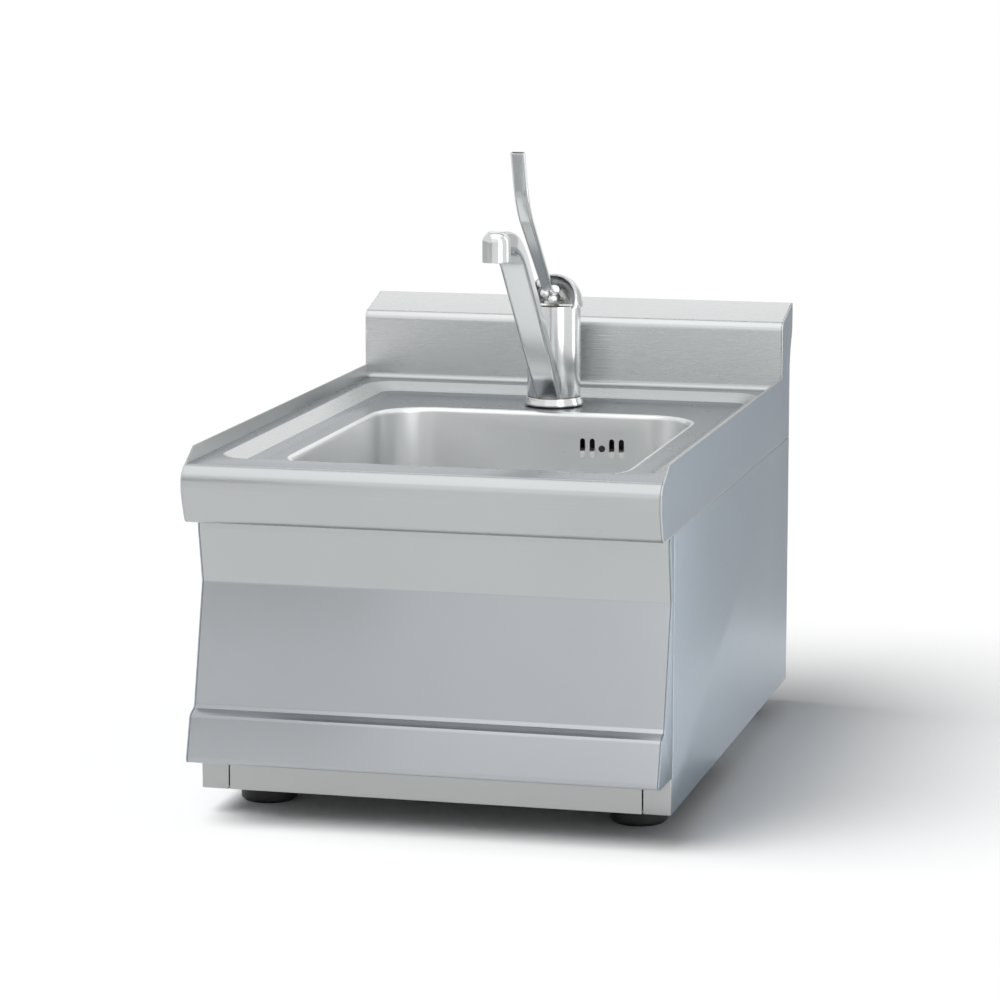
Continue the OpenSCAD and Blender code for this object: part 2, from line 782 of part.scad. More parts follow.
// Ring nut with grip ribs that clamps the tail to the waste body
waste_nut_h = 18;
waste_nut_z = cup_z - cup_wall - waste_nut_h;
tail_lip = 2.5;
tail_neck_h = 2;
module waste_nut() {
    color(black)
        translate([0, bowl_y, waste_nut_z])
            difference() {
                union() {
                    cylinder(r = outlet_thread_r + cup_wall + fit_gap, h = waste_nut_h);
                    for (i = [0 : 11])
                        rotate([0, 0, 30 * i])
                            translate([outlet_thread_r + cup_wall, 0, 0])
                                cylinder(r = cup_wall / 2, h = waste_nut_h);
                }
                translate([0, 0, -cut])
                    cylinder(r = tail_r + fit_gap, h = waste_nut_h);
                translate([0, 0, waste_nut_h - outlet_thread_h + cup_wall - tail_lip - fit_gap])
                    cylinder(r = outlet_thread_r + fit_gap, h = waste_nut_h);
            }
}

waste_end_h = 16;
module waste_tail() {
    top_z = cup_z - outlet_thread_h - fit_gap;
    color(black)
        translate([0, bowl_y, 0])
            rotate_extrude()
                polygon([[tail_r, body_z + waste_end_h], [tail_r, waste_nut_z - tail_neck_h],
                    [tail_r - tail_t / 2, waste_nut_z - tail_neck_h],
                    [tail_r - tail_t / 2, top_z - tail_lip],
                    [outlet_thread_r, top_z - tail_lip], [outlet_thread_r, top_z],
                    [tail_r - tail_t, top_z], [tail_r - tail_t, body_z + waste_end_h]]);
}

// Pipe from the overflow down and under the bowl to the waste
module overflow_pipe() {
    top_z = overflow_z - overflow_box_h / 2 - cut;
    pipe_end = pipe_run - cup_r - cup_wall;
    color(white)
        translate([overflow_x, overflow_pipe_y, 0])
            rotate([0, 0, pipe_turn]) {
                translate([0, 0, pipe_z + pipe_bend_r])
                    linear_extrude(top_z - pipe_z - pipe_bend_r)
                        pipe_section();
                translate([pipe_bend_r, 0, pipe_z + pipe_bend_r])
                    rotate([90, 0, 0])
                        rotate([0, 0, 180])
                            rotate_extrude(angle = 90)
                                translate([pipe_bend_r, 0])
                                    pipe_section();
                translate([pipe_bend_r, 0, pipe_z])
                    rotate([0, 90, 0])
                        linear_extrude(pipe_end - pipe_bend_r)
                            pipe_section();
            }
}

module pipe_section() {
    difference() {
        circle(pipe_r + pipe_t);
        circle(pipe_r);
    }
}

// Tap: heights from here on are above the recess floor
tap_seal_t = 1.2;
core_r = 22.2;
core_h = 86;
spigot_r = 17.2;
spigot_h = tap_seal_t;
inlet_r = 5;
inlet_h = 18;
inlet_x = 8;
inlet_y = 4;
stud_r = 4;
stud_y = -12;
stud_l = 58;
stud_in = 14;
cartridge_r = 17.4;
cartridge_h = 26;
cartridge_neck_r = 12;
guide_r = 9;
guide_h = 96;
pivot_h = 98;
ball_r = 6;
o_ring_r = 1.2;
o_ring_rows = [20, 72];
sleeve_r = core_r + run_gap;

module at_tap(h = 0) {
    translate([0, tap_y, deck_z + h])
        children();
}

module tap_seal() {
    color(black)
        at_tap()
            tube(tap_foot_r - 2 * tap_seal_t, spigot_r + fit_gap, tap_seal_t);
}

// Flared foot that the column turns on
module tap_foot() {
    bore = core_r + fit_gap;
    color(chrome)
        at_tap()
            rotate_extrude()
                polygon(concat([[bore, tap_seal_t], [tap_foot_r, tap_seal_t]],
                    [for (t = [0 : 0.25 : 1]) [tap_foot_r - (tap_foot_r - column_r) * sqrt(t) * 0.75,
                        tap_seal_t * 1.6 + t * (tap_foot_h - tap_seal_t * 1.6)]],
                    [[bore, tap_foot_h]]));
}

// Fixed core: spigot through the deck, bearing for the column, seat for the cartridge
module tap_core() {
    color(brass)
        at_tap()
            difference() {
                rotate_extrude()
                    polygon(concat([[0, -spigot_h], [spigot_r, -spigot_h], [spigot_r, tap_seal_t],
                        [core_r, tap_seal_t]],
                        [for (h = o_ring_rows, q = [[0, -1], [-2, -1], [-2, 1], [0, 1]])
                            [core_r + q[0] * o_ring_r, h + q[1] * o_ring_r]],
                        [[core_r, core_h], [cartridge_r + run_gap, core_h],
                            [cartridge_r + run_gap, core_h - cartridge_h - cut],
                            [0, core_h - cartridge_h - cut]]));
                for (x = [-inlet_x, inlet_x])
                    translate([x, inlet_y, -spigot_h - cut])
                        cylinder(r = inlet_r, h = inlet_h + cut);
                translate([0, stud_y, -spigot_h - cut])
                    cylinder(r = stud_r + fit_gap, h = stud_in + fit_gap + cut);
            }
}

module spout_o_rings() {
    color(black)
        at_tap()
            for (h = o_ring_rows)
                translate([0, 0, h])
                    rotate_extrude()
                        translate([core_r - o_ring_r, 0])
                            circle(o_ring_r - fit_gap / 2);
}

// Clamp under the deck: horseshoe washer, stud and long nut
washer_r = 24;
washer_t = 2.5;
module tap_washer() {
    color(dull_steel)
        at_tap(-top_t - washer_t)
            difference() {
                cylinder(r = washer_r, h = washer_t);
                for (x = [-inlet_x, inlet_x])
                    translate([x, inlet_y, -cut])
                        cylinder(r = inlet_r + washer_t, h = washer_t + 2 * cut);
                translate([-inlet_x, inlet_y - inlet_r - washer_t, -cut])
                    cube([2 * inlet_x, washer_r, washer_t + 2 * cut]);
                translate([0, stud_y, -cut])
                    cylinder(r = stud_r + fit_gap, h = washer_t + 2 * cut);
            }
}

module tap_stud() {
    color(dull_steel)
        at_tap()
            translate([0, stud_y, -stud_l])
                cylinder(r = stud_r, h = stud_l - spigot_h + stud_in);
}

tap_nut_h = 14;
module tap_nut() {
    color(brass)
        at_tap(-top_t - washer_t - tap_nut_h)
            translate([0, stud_y, 0])
                difference() {
                    cylinder(r = 2 * stud_r, h = tap_nut_h, $fn = 6);
                    translate([0, 0, -cut])
                        cylinder(r = stud_r + run_gap, h = tap_nut_h + 2 * cut);
                }
}

// Ceramic cartridge with the round guide that the lever's ball sits in
module cartridge() {
    color(white)
        at_tap()
            difference() {
                rotate_extrude()
                    polygon([[0, core_h - cartridge_h], [cartridge_r, core_h - cartridge_h],
                        [cartridge_r, core_h - 2 * cut], [cartridge_neck_r, core_h - 2 * cut],
                        [cartridge_neck_r, core_h + 2 * cut], [guide_r, core_h + 2 * cut],
                        [guide_r, guide_h], [0, guide_h]]);
                translate([0, 0, pivot_h])
                    sphere(r = ball_r + move_gap);
            }
}

nut_h = 5;
module cartridge_nut() {
    hole = cartridge_neck_r + fit_gap;
    nut_r = core_r - fit_gap;
    color(brass)
        at_tap()
            difference() {
                rotate_extrude()
                    polygon([[hole, core_h - 2 * cut], [cartridge_r, core_h - 2 * cut],
                        [cartridge_r, core_h], [nut_r, core_h], [nut_r, core_h + nut_h - cut],
                        [nut_r - cut, core_h + nut_h], [hole, core_h + nut_h]]);
                for (a = [0, 90])
                    rotate([0, 0, a])
                        translate([-core_r, -cut, core_h + nut_h / 2])
                            cube([2 * core_r, 2 * cut, nut_h]);
            }
}

// Spout: the column's sleeve and the arm, which climbs at half a right angle and bends level
arm_round = 6;
arm_root = 19;
arm_offset = 4.5;
arm_angle = 45;
head_h = 18.5;
head_over = 0.4;
arm_level = outlet_h + head_h;
arm_turn_r = (spout_reach - arm_level - arm_offset) / tan(arm_angle / 2);
arm_bend_y = spout_reach - arm_turn_r * sin(arm_angle);
outlet_r = 10.5;
outlet_depth = 16;
ring_t = 1.4;
ring_h = 10;
module spout() {
    head_r = arm_w / 2 + head_over;
    head_top = arm_level + arm_t / 2 + head_over;
    color(chrome)
        at_tap()
            difference() {
                union() {
                    translate([0, 0, tap_foot_h + move_gap])
                        cylinder(r = column_r, h = column_h - tap_foot_h - move_gap);
                    translate([0, -arm_root, arm_root - arm_offset])
                        rotate([arm_angle, 0, 0])
                            linear_extrude((arm_bend_y - arm_root) / cos(arm_angle))
                                polygon(round_path(arm_w, arm_t, arm_round));
                    translate([0, -spout_reach, arm_level - arm_turn_r])
                        rotate([90, 0, 90])
                            rotate([0, 0, 90 - arm_angle])
                                rotate_extrude(angle = arm_angle)
                                    translate([arm_turn_r, 0])
                                        polygon(round_path(arm_t, arm_w, arm_round));
                    translate([0, -spout_reach, 0])
                        rotate_extrude()
                            polygon(concat([[0, outlet_h], [head_r, outlet_h]],
                                arc([head_r - arm_round, head_top - arm_round], arm_round, 0, 90),
                                [[0, head_top]]));
                }
                translate([0, 0, tap_foot_h - cut])
                    cylinder(r = sleeve_r, h = column_h);
                translate([0, -spout_reach, outlet_h - cut])
                    cylinder(r = outlet_r, h = outlet_depth + cut);
            }
}

module aerator_ring() {
    color(chrome)
        at_tap(outlet_h + fit_gap)
            translate([0, -spout_reach, 0])
                tube(outlet_r - fit_gap / 2, outlet_r - ring_t, ring_h);
}

// Jet plate of the aerator
module aerator() {
    jet_r = outlet_r - ring_t - fit_gap / 2;
    color(white)
        at_tap(outlet_h + ring_t)
            translate([0, -spout_reach, 0])
                difference() {
                    cylinder(r = jet_r, h = ring_t);
                    for (i = [0 : 7])
                        rotate([0, 0, 45 * i])
                            translate([jet_r * 0.64, 0, -cut])
                                cylinder(r = ring_t / 2, h = ring_t + 2 * cut);
                    translate([0, 0, -cut])
                        cylinder(r = ring_t / 2, h = ring_t + 2 * cut);
                }
}

// Hood: a dome over the column's top, open in front where the lever leaves it
hood_t = 1.7;
hood_lap = 1.5;
hood_low = column_h - hood_lap;
hood_floor = column_h + move_gap;
hood_floor_t = 1.9;
hood_z = column_h + hood_lap;
mouth_y = 16;
mouth_angle = 25.4;
module hood() {
    inner = hood_r - hood_t;
    guide = guide_r + run_gap;
    color(chrome)
        at_tap()
            difference() {
                rotate_extrude()
                    polygon(concat([[guide, hood_floor], [inner, hood_floor], [inner, hood_low],
                        [hood_r, hood_low]],
                        arc([0, hood_z], hood_r, 0, 90, 2 * arc_steps),
                        arc([0, hood_z], inner, 90,
                            asin((hood_floor + hood_floor_t - hood_z) / inner), 2 * arc_steps),
                        [[guide, hood_floor + hood_floor_t]]));
                translate([0, -mouth_y, hood_low])
                    rotate([-mouth_angle, 0, 0])
                        translate([-2 * hood_r, -2 * hood_r, -hood_r])
                            cube([4 * hood_r, 2 * hood_r, 4 * hood_r]);
            }
}

spindle_w = 7;
spindle_h = 11;
pivot_pin_r = 1.5;
pivot_pin_l = 16;
module lever_spindle() {
    color(dull_steel)
        at_tap(pivot_h) {
            sphere(r = ball_r);
            rotate([0, 90, 0])
                cylinder(r = pivot_pin_r, h = pivot_pin_l, center = true);
            translate([-spindle_w / 2, -spindle_w / 2, 0])
                cube([spindle_w, spindle_w, spindle_h]);
        }
}

// Hub: a bar on the spindle with the knuckle that carries the lever
hub_w = 12;
hub_back = 6;
hub_z = 103;
hub_h = 9;
knuckle_r = 4;
knuckle_w = 15;
knuckle_y = 22.6;
knuckle_h = 107.7;
lever_dir = [-cos(lever_slope), sin(lever_slope)];
module lever_hub() {
    pocket = spindle_w + 2 * run_gap;
    color(chrome)
        at_tap()
            difference() {
                union() {
                    translate([-hub_w / 2, -knuckle_y, hub_z])
                        cube([hub_w, knuckle_y + hub_back, hub_h]);
                    for (s = [-1, 1])
                        translate([0, -knuckle_y, knuckle_h + s * knuckle_r])
                            rotate([0, 90, 0])
                                cylinder(r = knuckle_r + fit_gap, h = knuckle_w, center = true);
                }
                translate([-pocket / 2, -pocket / 2, hub_z - cut])
                    cube([pocket, pocket, pivot_h + spindle_h + fit_gap - hub_z + cut]);
            }
}

// Lever: a flat bar along the slope, then turned up, widening toward its end
lever_t = 5.5;
lever_root_w = 10;
lever_end_w = 13;
lever_clear = 5.5;
lever_end_slope = 70.6;
lever_bend_r = 14;
module lever() {
    root = [-knuckle_y, knuckle_h] + lever_clear * lever_dir;
    elbow = [-knuckle_y, knuckle_h] + lever_len * lever_dir;
    tip = elbow + lever_end_len * [-cos(lever_end_slope), sin(lever_end_slope)];
    side = lever_t / 2 * [sin(lever_slope), cos(lever_slope)];
    turn = (lever_end_slope - lever_slope) / 2;
    soft = lever_bend_r * tan(turn);
    up = (tip - elbow) / lever_end_len;
    bar = concat([root + side],
        [for (p = [elbow - soft * lever_dir, elbow - soft / 3 * lever_dir,
            elbow + soft / 3 * up, elbow + soft * up, tip]) p + side]);
    color(chrome)
        at_tap()
            difference() {
                intersection() {
                    along_x(lever_end_w)
                        polygon(sheet(bar, -lever_t));
                    linear_extrude(2 * tip[1])
                        polygon([[-lever_root_w / 2, 0], [lever_root_w / 2, 0],
                            [lever_end_w / 2, elbow[0]], [lever_end_w / 2, 2 * tip[0]],
                            [-lever_end_w / 2, 2 * tip[0]], [-lever_end_w / 2, elbow[0]]]);
                }
                for (s = [-1, 1])
                    translate([0, -knuckle_y, knuckle_h + s * knuckle_r])
                        rotate([0, 90, 0])
                            cylinder(r = knuckle_r + 2 * fit_gap, h = knuckle_w, center = true);
            }
}

// Feet: pads on threaded stems through plates on the tray
plate_w = 60;
plate_t = 3;
boss_r = 9;
boss_h = 8;
plate_z = body_z + 2 * body_t;
pad_h = foot_h - move_gap;
stem_z = pad_h / 2;
stem_end_z = plate_z + plate_t + boss_h + foot_travel;

module foot_plates() {
    color(dull_steel)
        for (p = foot_places)
            translate([p[0], p[1], plate_z])
                difference() {
                    union() {
                        linear_extrude(plate_t)
                            round_rect(plate_w, plate_w, panel_round);
                        cylinder(r = boss_r, h = plate_t + boss_h);
                    }
                    translate([0, 0, -cut])
                        cylinder(r = stem_r + run_gap, h = plate_t + boss_h + 2 * cut);
                }
}

module pad(i) {
    color(black)
        translate([foot_places[i][0], foot_places[i][1], 0])
            rotate_extrude()
                polygon([[0, 0], [foot_r - cut, 0], [foot_r, cut], [foot_r, pad_h - cut],
                    [foot_r - cut, pad_h], [stem_r + run_gap, pad_h], [stem_r + run_gap, stem_z],
                    [0, stem_z]]);
}

module stem(i) {
    color(dull_steel)
        translate([foot_places[i][0], foot_places[i][1], 0])
            rotate_extrude()
                polygon([[0, stem_z], [stem_r, stem_z], [stem_r, stem_end_z - cut],
                    [stem_r - cut, stem_end_z], [0, stem_end_z]]);
}

module front_left_pad() { pad(0); }
module front_left_stem() { stem(0); }
module back_left_pad() { pad(1); }
module back_left_stem() { stem(1); }
module front_right_pad() { pad(2); }
module front_right_stem() { stem(2); }
module back_right_pad() { pad(3); }
module back_right_stem() { stem(3); }

worktop();
sink_bowl();
left_deck_rail();
right_deck_rail();
front_rail();
left_side_panel();
right_side_panel();
base_panel();
rear_panel();
front_panel();
left_front_cheek();
right_front_cheek();
panel_screws();
overflow_gasket();
overflow_housing();
overflow_insert();
overflow_screw();
overflow_pipe();
waste_strainer();
waste_seal();
waste_body();
waste_screw();
waste_nut();
waste_tail();
tap_seal();
tap_foot();
tap_core();
tap_washer();
tap_stud();
tap_nut();
cartridge();
cartridge_nut();
spout_o_rings();
spout();
aerator_ring();
aerator();
hood();
lever_spindle();
lever_hub();
lever();
foot_plates();
front_left_pad();
front_left_stem();
front_right_pad();
front_right_stem();
back_left_pad();
back_left_stem();
back_right_pad();
back_right_stem();
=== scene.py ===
# %% [markdown]
# # A stainless steel hand wash sink
# The model was built in CAD with every piece in its real place, and this lesson dresses it.
# The CAD frame fixes the sizes. Blender adds the soft folds, the finishes, the light and
# the camera. First the frame is loaded.

# %% Load the frame
import json
import math

import bpy
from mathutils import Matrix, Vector


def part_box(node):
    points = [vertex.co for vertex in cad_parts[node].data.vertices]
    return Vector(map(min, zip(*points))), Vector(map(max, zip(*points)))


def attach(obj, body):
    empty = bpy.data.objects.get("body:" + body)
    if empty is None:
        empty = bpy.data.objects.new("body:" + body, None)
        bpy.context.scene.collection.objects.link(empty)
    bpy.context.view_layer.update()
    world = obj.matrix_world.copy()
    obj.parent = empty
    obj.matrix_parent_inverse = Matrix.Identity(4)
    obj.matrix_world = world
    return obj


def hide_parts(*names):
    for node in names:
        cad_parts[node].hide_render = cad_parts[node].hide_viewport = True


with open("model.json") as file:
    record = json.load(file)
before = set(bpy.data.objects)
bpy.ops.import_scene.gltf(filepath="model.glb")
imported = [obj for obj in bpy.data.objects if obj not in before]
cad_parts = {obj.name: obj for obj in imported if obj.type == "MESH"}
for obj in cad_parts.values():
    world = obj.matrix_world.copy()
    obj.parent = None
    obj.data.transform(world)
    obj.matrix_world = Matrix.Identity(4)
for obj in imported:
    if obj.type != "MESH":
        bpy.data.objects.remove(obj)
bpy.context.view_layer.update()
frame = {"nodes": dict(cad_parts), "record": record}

NODES = frame["nodes"]
print("the frame has", len(NODES), "pieces")

# %% [markdown]
# The picture is taken with a long lens from the right and a little above, so upright edges
# stay nearly parallel. The lens and the place were worked out from the straight edges of
# the unit, whose sizes are known.

# %% Camera
SENSOR = 0.036
LENS = 0.1397
EYE = (0.8116, -3.2604, 0.8050)
LOOK_DOWN = math.radians(9.687)
LOOK_LEFT = math.radians(14.089)


def place_camera():
    bpy.ops.object.camera_add(location=EYE,
                              rotation=(math.pi / 2 - LOOK_DOWN, 0, LOOK_LEFT))
    camera = bpy.context.object
    camera.data.lens = LENS * 1000
    camera.data.sensor_width = SENSOR * 1000
    bpy.context.scene.camera = camera
    return camera


camera = place_camera()
print("lens", camera.data.lens, "mm")

# %% [markdown]
# Shader maths reads best as plain sums. This small class wraps a socket, so that
# `noise * 0.2 + 0.3` adds the Math nodes, and `node` adds any other node with its
# settings and its inputs.

# %% Shader sums


class Socket:
    """A shader socket that can be added, subtracted and multiplied like a number."""

    def __init__(self, sheet, out):
        self.sheet, self.out = sheet, out

    def maths(self, operation, a, b):
        return self.sheet.node("ShaderNodeMath", {"operation": operation}, {0: a, 1: b})

    def __add__(self, other): return self.maths("ADD", self, other)
    def __radd__(self, other): return self.maths("ADD", other, self)
    def __sub__(self, other): return self.maths("SUBTRACT", self, other)
    def __rsub__(self, other): return self.maths("SUBTRACT", other, self)
    def __mul__(self, other): return self.maths("MULTIPLY", self, other)
    def __rmul__(self, other): return self.maths("MULTIPLY", other, self)


class Finish:
    """A material made as a sheet of nodes."""

    def __init__(self, name):
        self.material = bpy.data.materials.new(name)
        self.material.use_nodes = True
        self.nodes = self.material.node_tree.nodes
        self.links = self.material.node_tree.links
        self.surface = self.nodes["Principled BSDF"]

    def put(self, node, key, value):
        if isinstance(value, Socket):
            self.links.new(value.out, node.inputs[key])
        else:
            node.inputs[key].default_value = value

    def node(self, kind, settings=None, inputs=None, out=0):
        made = self.nodes.new(kind)
        for key, value in (settings or {}).items():
            setattr(made, key, value)
        for key, value in (inputs or {}).items():
            self.put(made, key, value)
        return Socket(self, made.outputs[out])

    def set(self, **values):
        for key, value in values.items():
            self.put(self.surface, key.replace("_", " "), value)
        return self

    def place(self, scale=(1, 1, 1)):
        coordinates = self.node("ShaderNodeTexCoord", out="Object")
        return self.node("ShaderNodeMapping", {}, {"Vector": coordinates, "Scale": scale})

    def noise(self, scale, stretch=(1, 1, 1), detail=2):
        return self.node("ShaderNodeTexNoise", {},
                         {"Vector": self.place(stretch), "Scale": scale, "Detail": detail})

    def blend(self, factor, a, b):
        mixed = self.nodes.new("ShaderNodeMix")
        mixed.data_type = "RGBA"
        for key, value in ((0, factor), (6, a), (7, b)):
            self.put(mixed, key, value)
        return Socket(self, mixed.outputs[2])

    def bump(self, height, strength, distance):
        return self.node("ShaderNodeBump", {},
                         {"Height": height, "Strength": strength, "Distance": distance})


print("shader sums are ready")

# %% [markdown]
# The unit is satin stainless steel. Its brushing is so fine that it only softens what it
# mirrors, and a faint unevenness in the gloss keeps large faces from looking like paint.
# The real unit is one steel. Here its deck, splash, flanks, front, plinth and bowl each get
# a tone of their own, chosen to look right from the camera's side: these lighter and darker
# copies of the one steel are painted light and shade. Someone who lights the part in
# another way starts by giving them all one tone.

# %% Finishes
def satin_steel(name, tone, rough, grain=(1, 1, 40), edge=1.0, relief=0.0003):
    sheet = Finish(name)
    cloud = sheet.noise(6, detail=3)
    brush = sheet.noise(30, grain, detail=4)
    lighter = tuple(min(1, c * 1.05) for c in tone) + (1,)
    darker = tuple(c * 0.95 for c in tone) + (1,)
    sheet.set(Base_Color=sheet.blend(cloud, darker, lighter), Metallic=1.0,
              Specular_Tint=(edge, edge, edge, 1),
              Roughness=rough + (cloud - 0.5) * 0.06 + (brush - 0.5) * 0.08,
              Normal=sheet.bump(brush, 0.02, relief))
    return sheet.material


def polished(name, tone, rough):
    sheet = Finish(name)
    cloud = sheet.noise(14, detail=2)
    sheet.set(Base_Color=sheet.blend(cloud, tuple(c * 0.97 for c in tone) + (1,), tone + (1,)),
              Metallic=1.0, Roughness=rough + (cloud - 0.5) * 0.02)
    return sheet.material


def plain(name, tone, rough, grain=400, depth=0.0001):
    sheet = Finish(name)
    grit = sheet.noise(grain, detail=3)
    dark = tuple(c * 0.85 for c in tone) + (1,)
    light = tuple(min(1, c * 1.1) for c in tone) + (1,)
    sheet.set(Base_Color=sheet.blend(grit, dark, light),
              Roughness=rough + (grit - 0.5) * 0.1, Normal=sheet.bump(grit, 0.3, depth))
    return sheet.material


FINISHES = {
    "steel": satin_steel("satin_steel", (0.47, 0.485, 0.485), 0.3),
    # The next six steels (splash, panel, plinth, side, deck, bowl) are lighter or darker copies
    # of the one steel above: painted light and shade.
    "splash_lit_steel": satin_steel("splash_lit_steel", (0.56, 0.575, 0.575), 0.28,
                                relief=0.00008),
    "panel_shaded_steel": satin_steel("panel_shaded_steel", (0.42, 0.435, 0.455), 0.32),
    "plinth_shaded_steel": satin_steel("plinth_shaded_steel", (0.405, 0.42, 0.415), 0.32),
    "side_steel": satin_steel("side_steel", (0.338, 0.384, 0.431), 0.4, edge=0.8),
    "deck_shaded_steel": satin_steel("deck_shaded_steel", (0.28, 0.3, 0.32), 0.28, relief=0.00003),
    "bowl_lit_steel": satin_steel("bowl_lit_steel", (0.77, 0.78, 0.78), 0.3, relief=0.0001),
    "plain_steel": satin_steel("plain_steel", (0.42, 0.43, 0.44), 0.42),
    "chrome": polished("polished_chrome", (0.65, 0.66, 0.66), 0.16),
    # A lighter copy of the chrome for the lever's knobs: painted highlight.
    "knob_lit_chrome": polished("knob_lit_chrome", (0.88, 0.89, 0.9), 0.28),
    "brass": polished("machined_brass", (0.68, 0.52, 0.25), 0.28),
    "rubber": plain("seal_rubber", (0.02, 0.02, 0.02), 0.6),
    "pad_rubber": plain("pad_rubber", (0.012, 0.012, 0.013), 0.55, grain=250),
    "black_plastic": plain("black_plastic", (0.015, 0.015, 0.016), 0.45),
    "white_plastic": plain("white_plastic", (0.82, 0.82, 0.8), 0.4),
}
for part in frame["record"]["subparts"]:
    piece = NODES[part["node"]]
    piece.data.materials.clear()
    piece.data.materials.append(FINISHES[part["material_slot"]])
print(len(FINISHES), "finishes")

# %% [markdown]
# Most of the unit is folded sheet. A fold is drawn as a chain of edges: one vertex is
# extruded from point to point along the profile, the chain is extruded across the unit's
# width, and Solidify gives it the gauge of the steel. Bevel then rounds the raw corners.

# %% Tools for folded sheet
MM = 0.001


def edit(piece):
    bpy.context.view_layer.objects.active = piece
    bpy.ops.object.mode_set(mode="EDIT")


def leave():
    bpy.ops.object.mode_set(mode="OBJECT")


def nothing_selected():
    if bpy.context.object and bpy.context.object.mode == "EDIT":
        leave()
    bpy.ops.object.select_all(action="DESELECT")


def start_at(name, point):
    """A new piece of one vertex, left in edit mode."""
    nothing_selected()
    bpy.ops.mesh.primitive_plane_add(size=MM, location=point)
    piece = bpy.context.object
    piece.name = name
    bpy.ops.object.transform_apply(location=True)
    edit(piece)
    bpy.ops.mesh.select_mode(type="VERT")
    bpy.ops.mesh.select_all(action="SELECT")
    bpy.ops.mesh.merge(type="CENTER")
    return piece


def extrude(step):
    bpy.ops.mesh.extrude_region_move(TRANSFORM_OT_translate={"value": step})


def draw_along(points):
    for a, b in zip(points, points[1:]):
        extrude(Vector(b) - Vector(a))


def pick(piece, kind, test):
    """Select the vertices, edges or faces whose middle passes the test."""
    leave()
    mesh = piece.data
    mesh.vertices.foreach_set("select", [False] * len(mesh.vertices))
    mesh.edges.foreach_set("select", [False] * len(mesh.edges))
    mesh.polygons.foreach_set("select", [False] * len(mesh.polygons))
    bpy.ops.object.mode_set(mode="EDIT")
    bpy.ops.mesh.select_mode(type=kind)
    leave()
    count = 0
    if kind == "FACE":
        for face in mesh.polygons:
            face.select = bool(test(face.center))
            count += face.select
    elif kind == "EDGE":
        for edge in mesh.edges:
            ends = [mesh.vertices[i].co for i in edge.vertices]
            edge.select = bool(all(test(end) for end in ends))
            count += edge.select
    else:
        for vertex in mesh.vertices:
            vertex.select = bool(test(vertex.co))
            count += vertex.select
    bpy.ops.object.mode_set(mode="EDIT")
    return count


def bridge_level(piece, z):
    """Open the two faces that lie at this height and bridge the ring between their edges."""
    def level(p):
        return abs(p.z - z) < 0.005 * MM
    pick(piece, "FACE", level)
    bpy.ops.mesh.delete(type="ONLY_FACE")
    print("bridging", pick(piece, "EDGE", level), "edges")
    bpy.ops.mesh.bridge_edge_loops()


def arc(centre, radius, start, end, steps):
    """Points on a round stretch, angles in degrees."""
    points = []
    for i in range(steps + 1):
        angle = math.radians(start + (end - start) * i / steps)
        points.append((centre[0] + radius * math.cos(angle),
                       centre[1] + radius * math.sin(angle)))
    return points


def soften(points, radius, steps=4):
    """Round every corner of a profile of (y, z) points."""
    out = [points[0]]
    for a, b, c in zip(points, points[1:], points[2:]):
        a, b, c = Vector(a), Vector(b), Vector(c)
        u, v = (a - b).normalized(), (c - b).normalized()
        half = u.angle(v) / 2
        if half > math.radians(88):
            out.append(tuple(b))
            continue
        reach = min(radius / math.tan(half), (a - b).length * 0.45, (c - b).length * 0.45)
        first, last = b + u * reach, b + v * reach
        for i in range(steps + 1):
            t = i / steps
            out.append(tuple(first * (1 - t) ** 2 + b * 2 * t * (1 - t) + last * t ** 2))
    return out + [points[-1]]


def modify(piece, kind, **settings):
    nothing_selected()
    bpy.context.view_layer.objects.active = piece
    piece.select_set(True)
    modifier = piece.modifiers.new(kind.title(), kind)
    for key, value in settings.items():
        setattr(modifier, key, value)
    bpy.ops.object.modifier_apply(modifier=modifier.name)


def face_out(piece):
    edit(piece)
    bpy.ops.mesh.select_all(action="SELECT")
    bpy.ops.mesh.remove_doubles(threshold=0.02 * MM)
    bpy.ops.mesh.normals_make_consistent(inside=False)
    leave()


def smooth(piece, angle=30):
    nothing_selected()
    bpy.context.view_layer.objects.active = piece
    piece.select_set(True)
    bpy.ops.object.shade_smooth_by_angle(angle=math.radians(angle))


def dress(piece, finish, body, *nodes, slot=None):
    """Give a piece its finish, its body, and the CAD nodes that it stands for."""
    piece.data.materials.clear()
    piece.data.materials.append(FINISHES[finish])
    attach(piece, body)
    if nodes:
        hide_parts(*nodes)
    print(piece.name, len(piece.data.polygons), "faces")
    return piece


def paint_light_and_shade(piece, finish, test):
    """Give the faces that pass the test another tone of the same metal, as painted light and
    shade.
    """
    piece.data.materials.append(FINISHES[finish])
    count = pick(piece, "FACE", test)
    piece.active_material_index = len(piece.data.materials) - 1
    bpy.ops.object.material_slot_assign()
    leave()
    print(finish, "on", count, "faces of", piece.name)


def folded(name, profile, x_left, x_right):
    """A thin strip folded along a profile of (y, z) points, from x_left to x_right."""
    piece = start_at(name, (x_left, *profile[0]))
    draw_along([(x_left, y, z) for y, z in profile])
    bpy.ops.mesh.select_all(action="SELECT")
    extrude((x_right - x_left, 0, 0))
    face_out(piece)
    return piece


def blank(name, outline, x, gauge):
    """A flat blank cut to an outline of (y, z) points, gauge thick from x."""
    piece = start_at(name, (x, *outline[0]))
    draw_along([(x, y, z) for y, z in outline])
    bpy.ops.mesh.select_all(action="SELECT")
    bpy.ops.mesh.edge_face_add()
    extrude((gauge, 0, 0))
    face_out(piece)
    return piece


def join(name, *pieces):
    nothing_selected()
    for piece in pieces:
        piece.select_set(True)
    bpy.context.view_layer.objects.active = pieces[0]
    bpy.ops.object.join()
    pieces[0].name = name
    return pieces[0]


print("tools for folded sheet are ready")

# %% [markdown]
# The worktop is one sheet. Its front rolls down over a nosing, its back rises into the
# splashback and closes behind it, and each side is a flat blank. The rim between them is
# cut out round the recess.

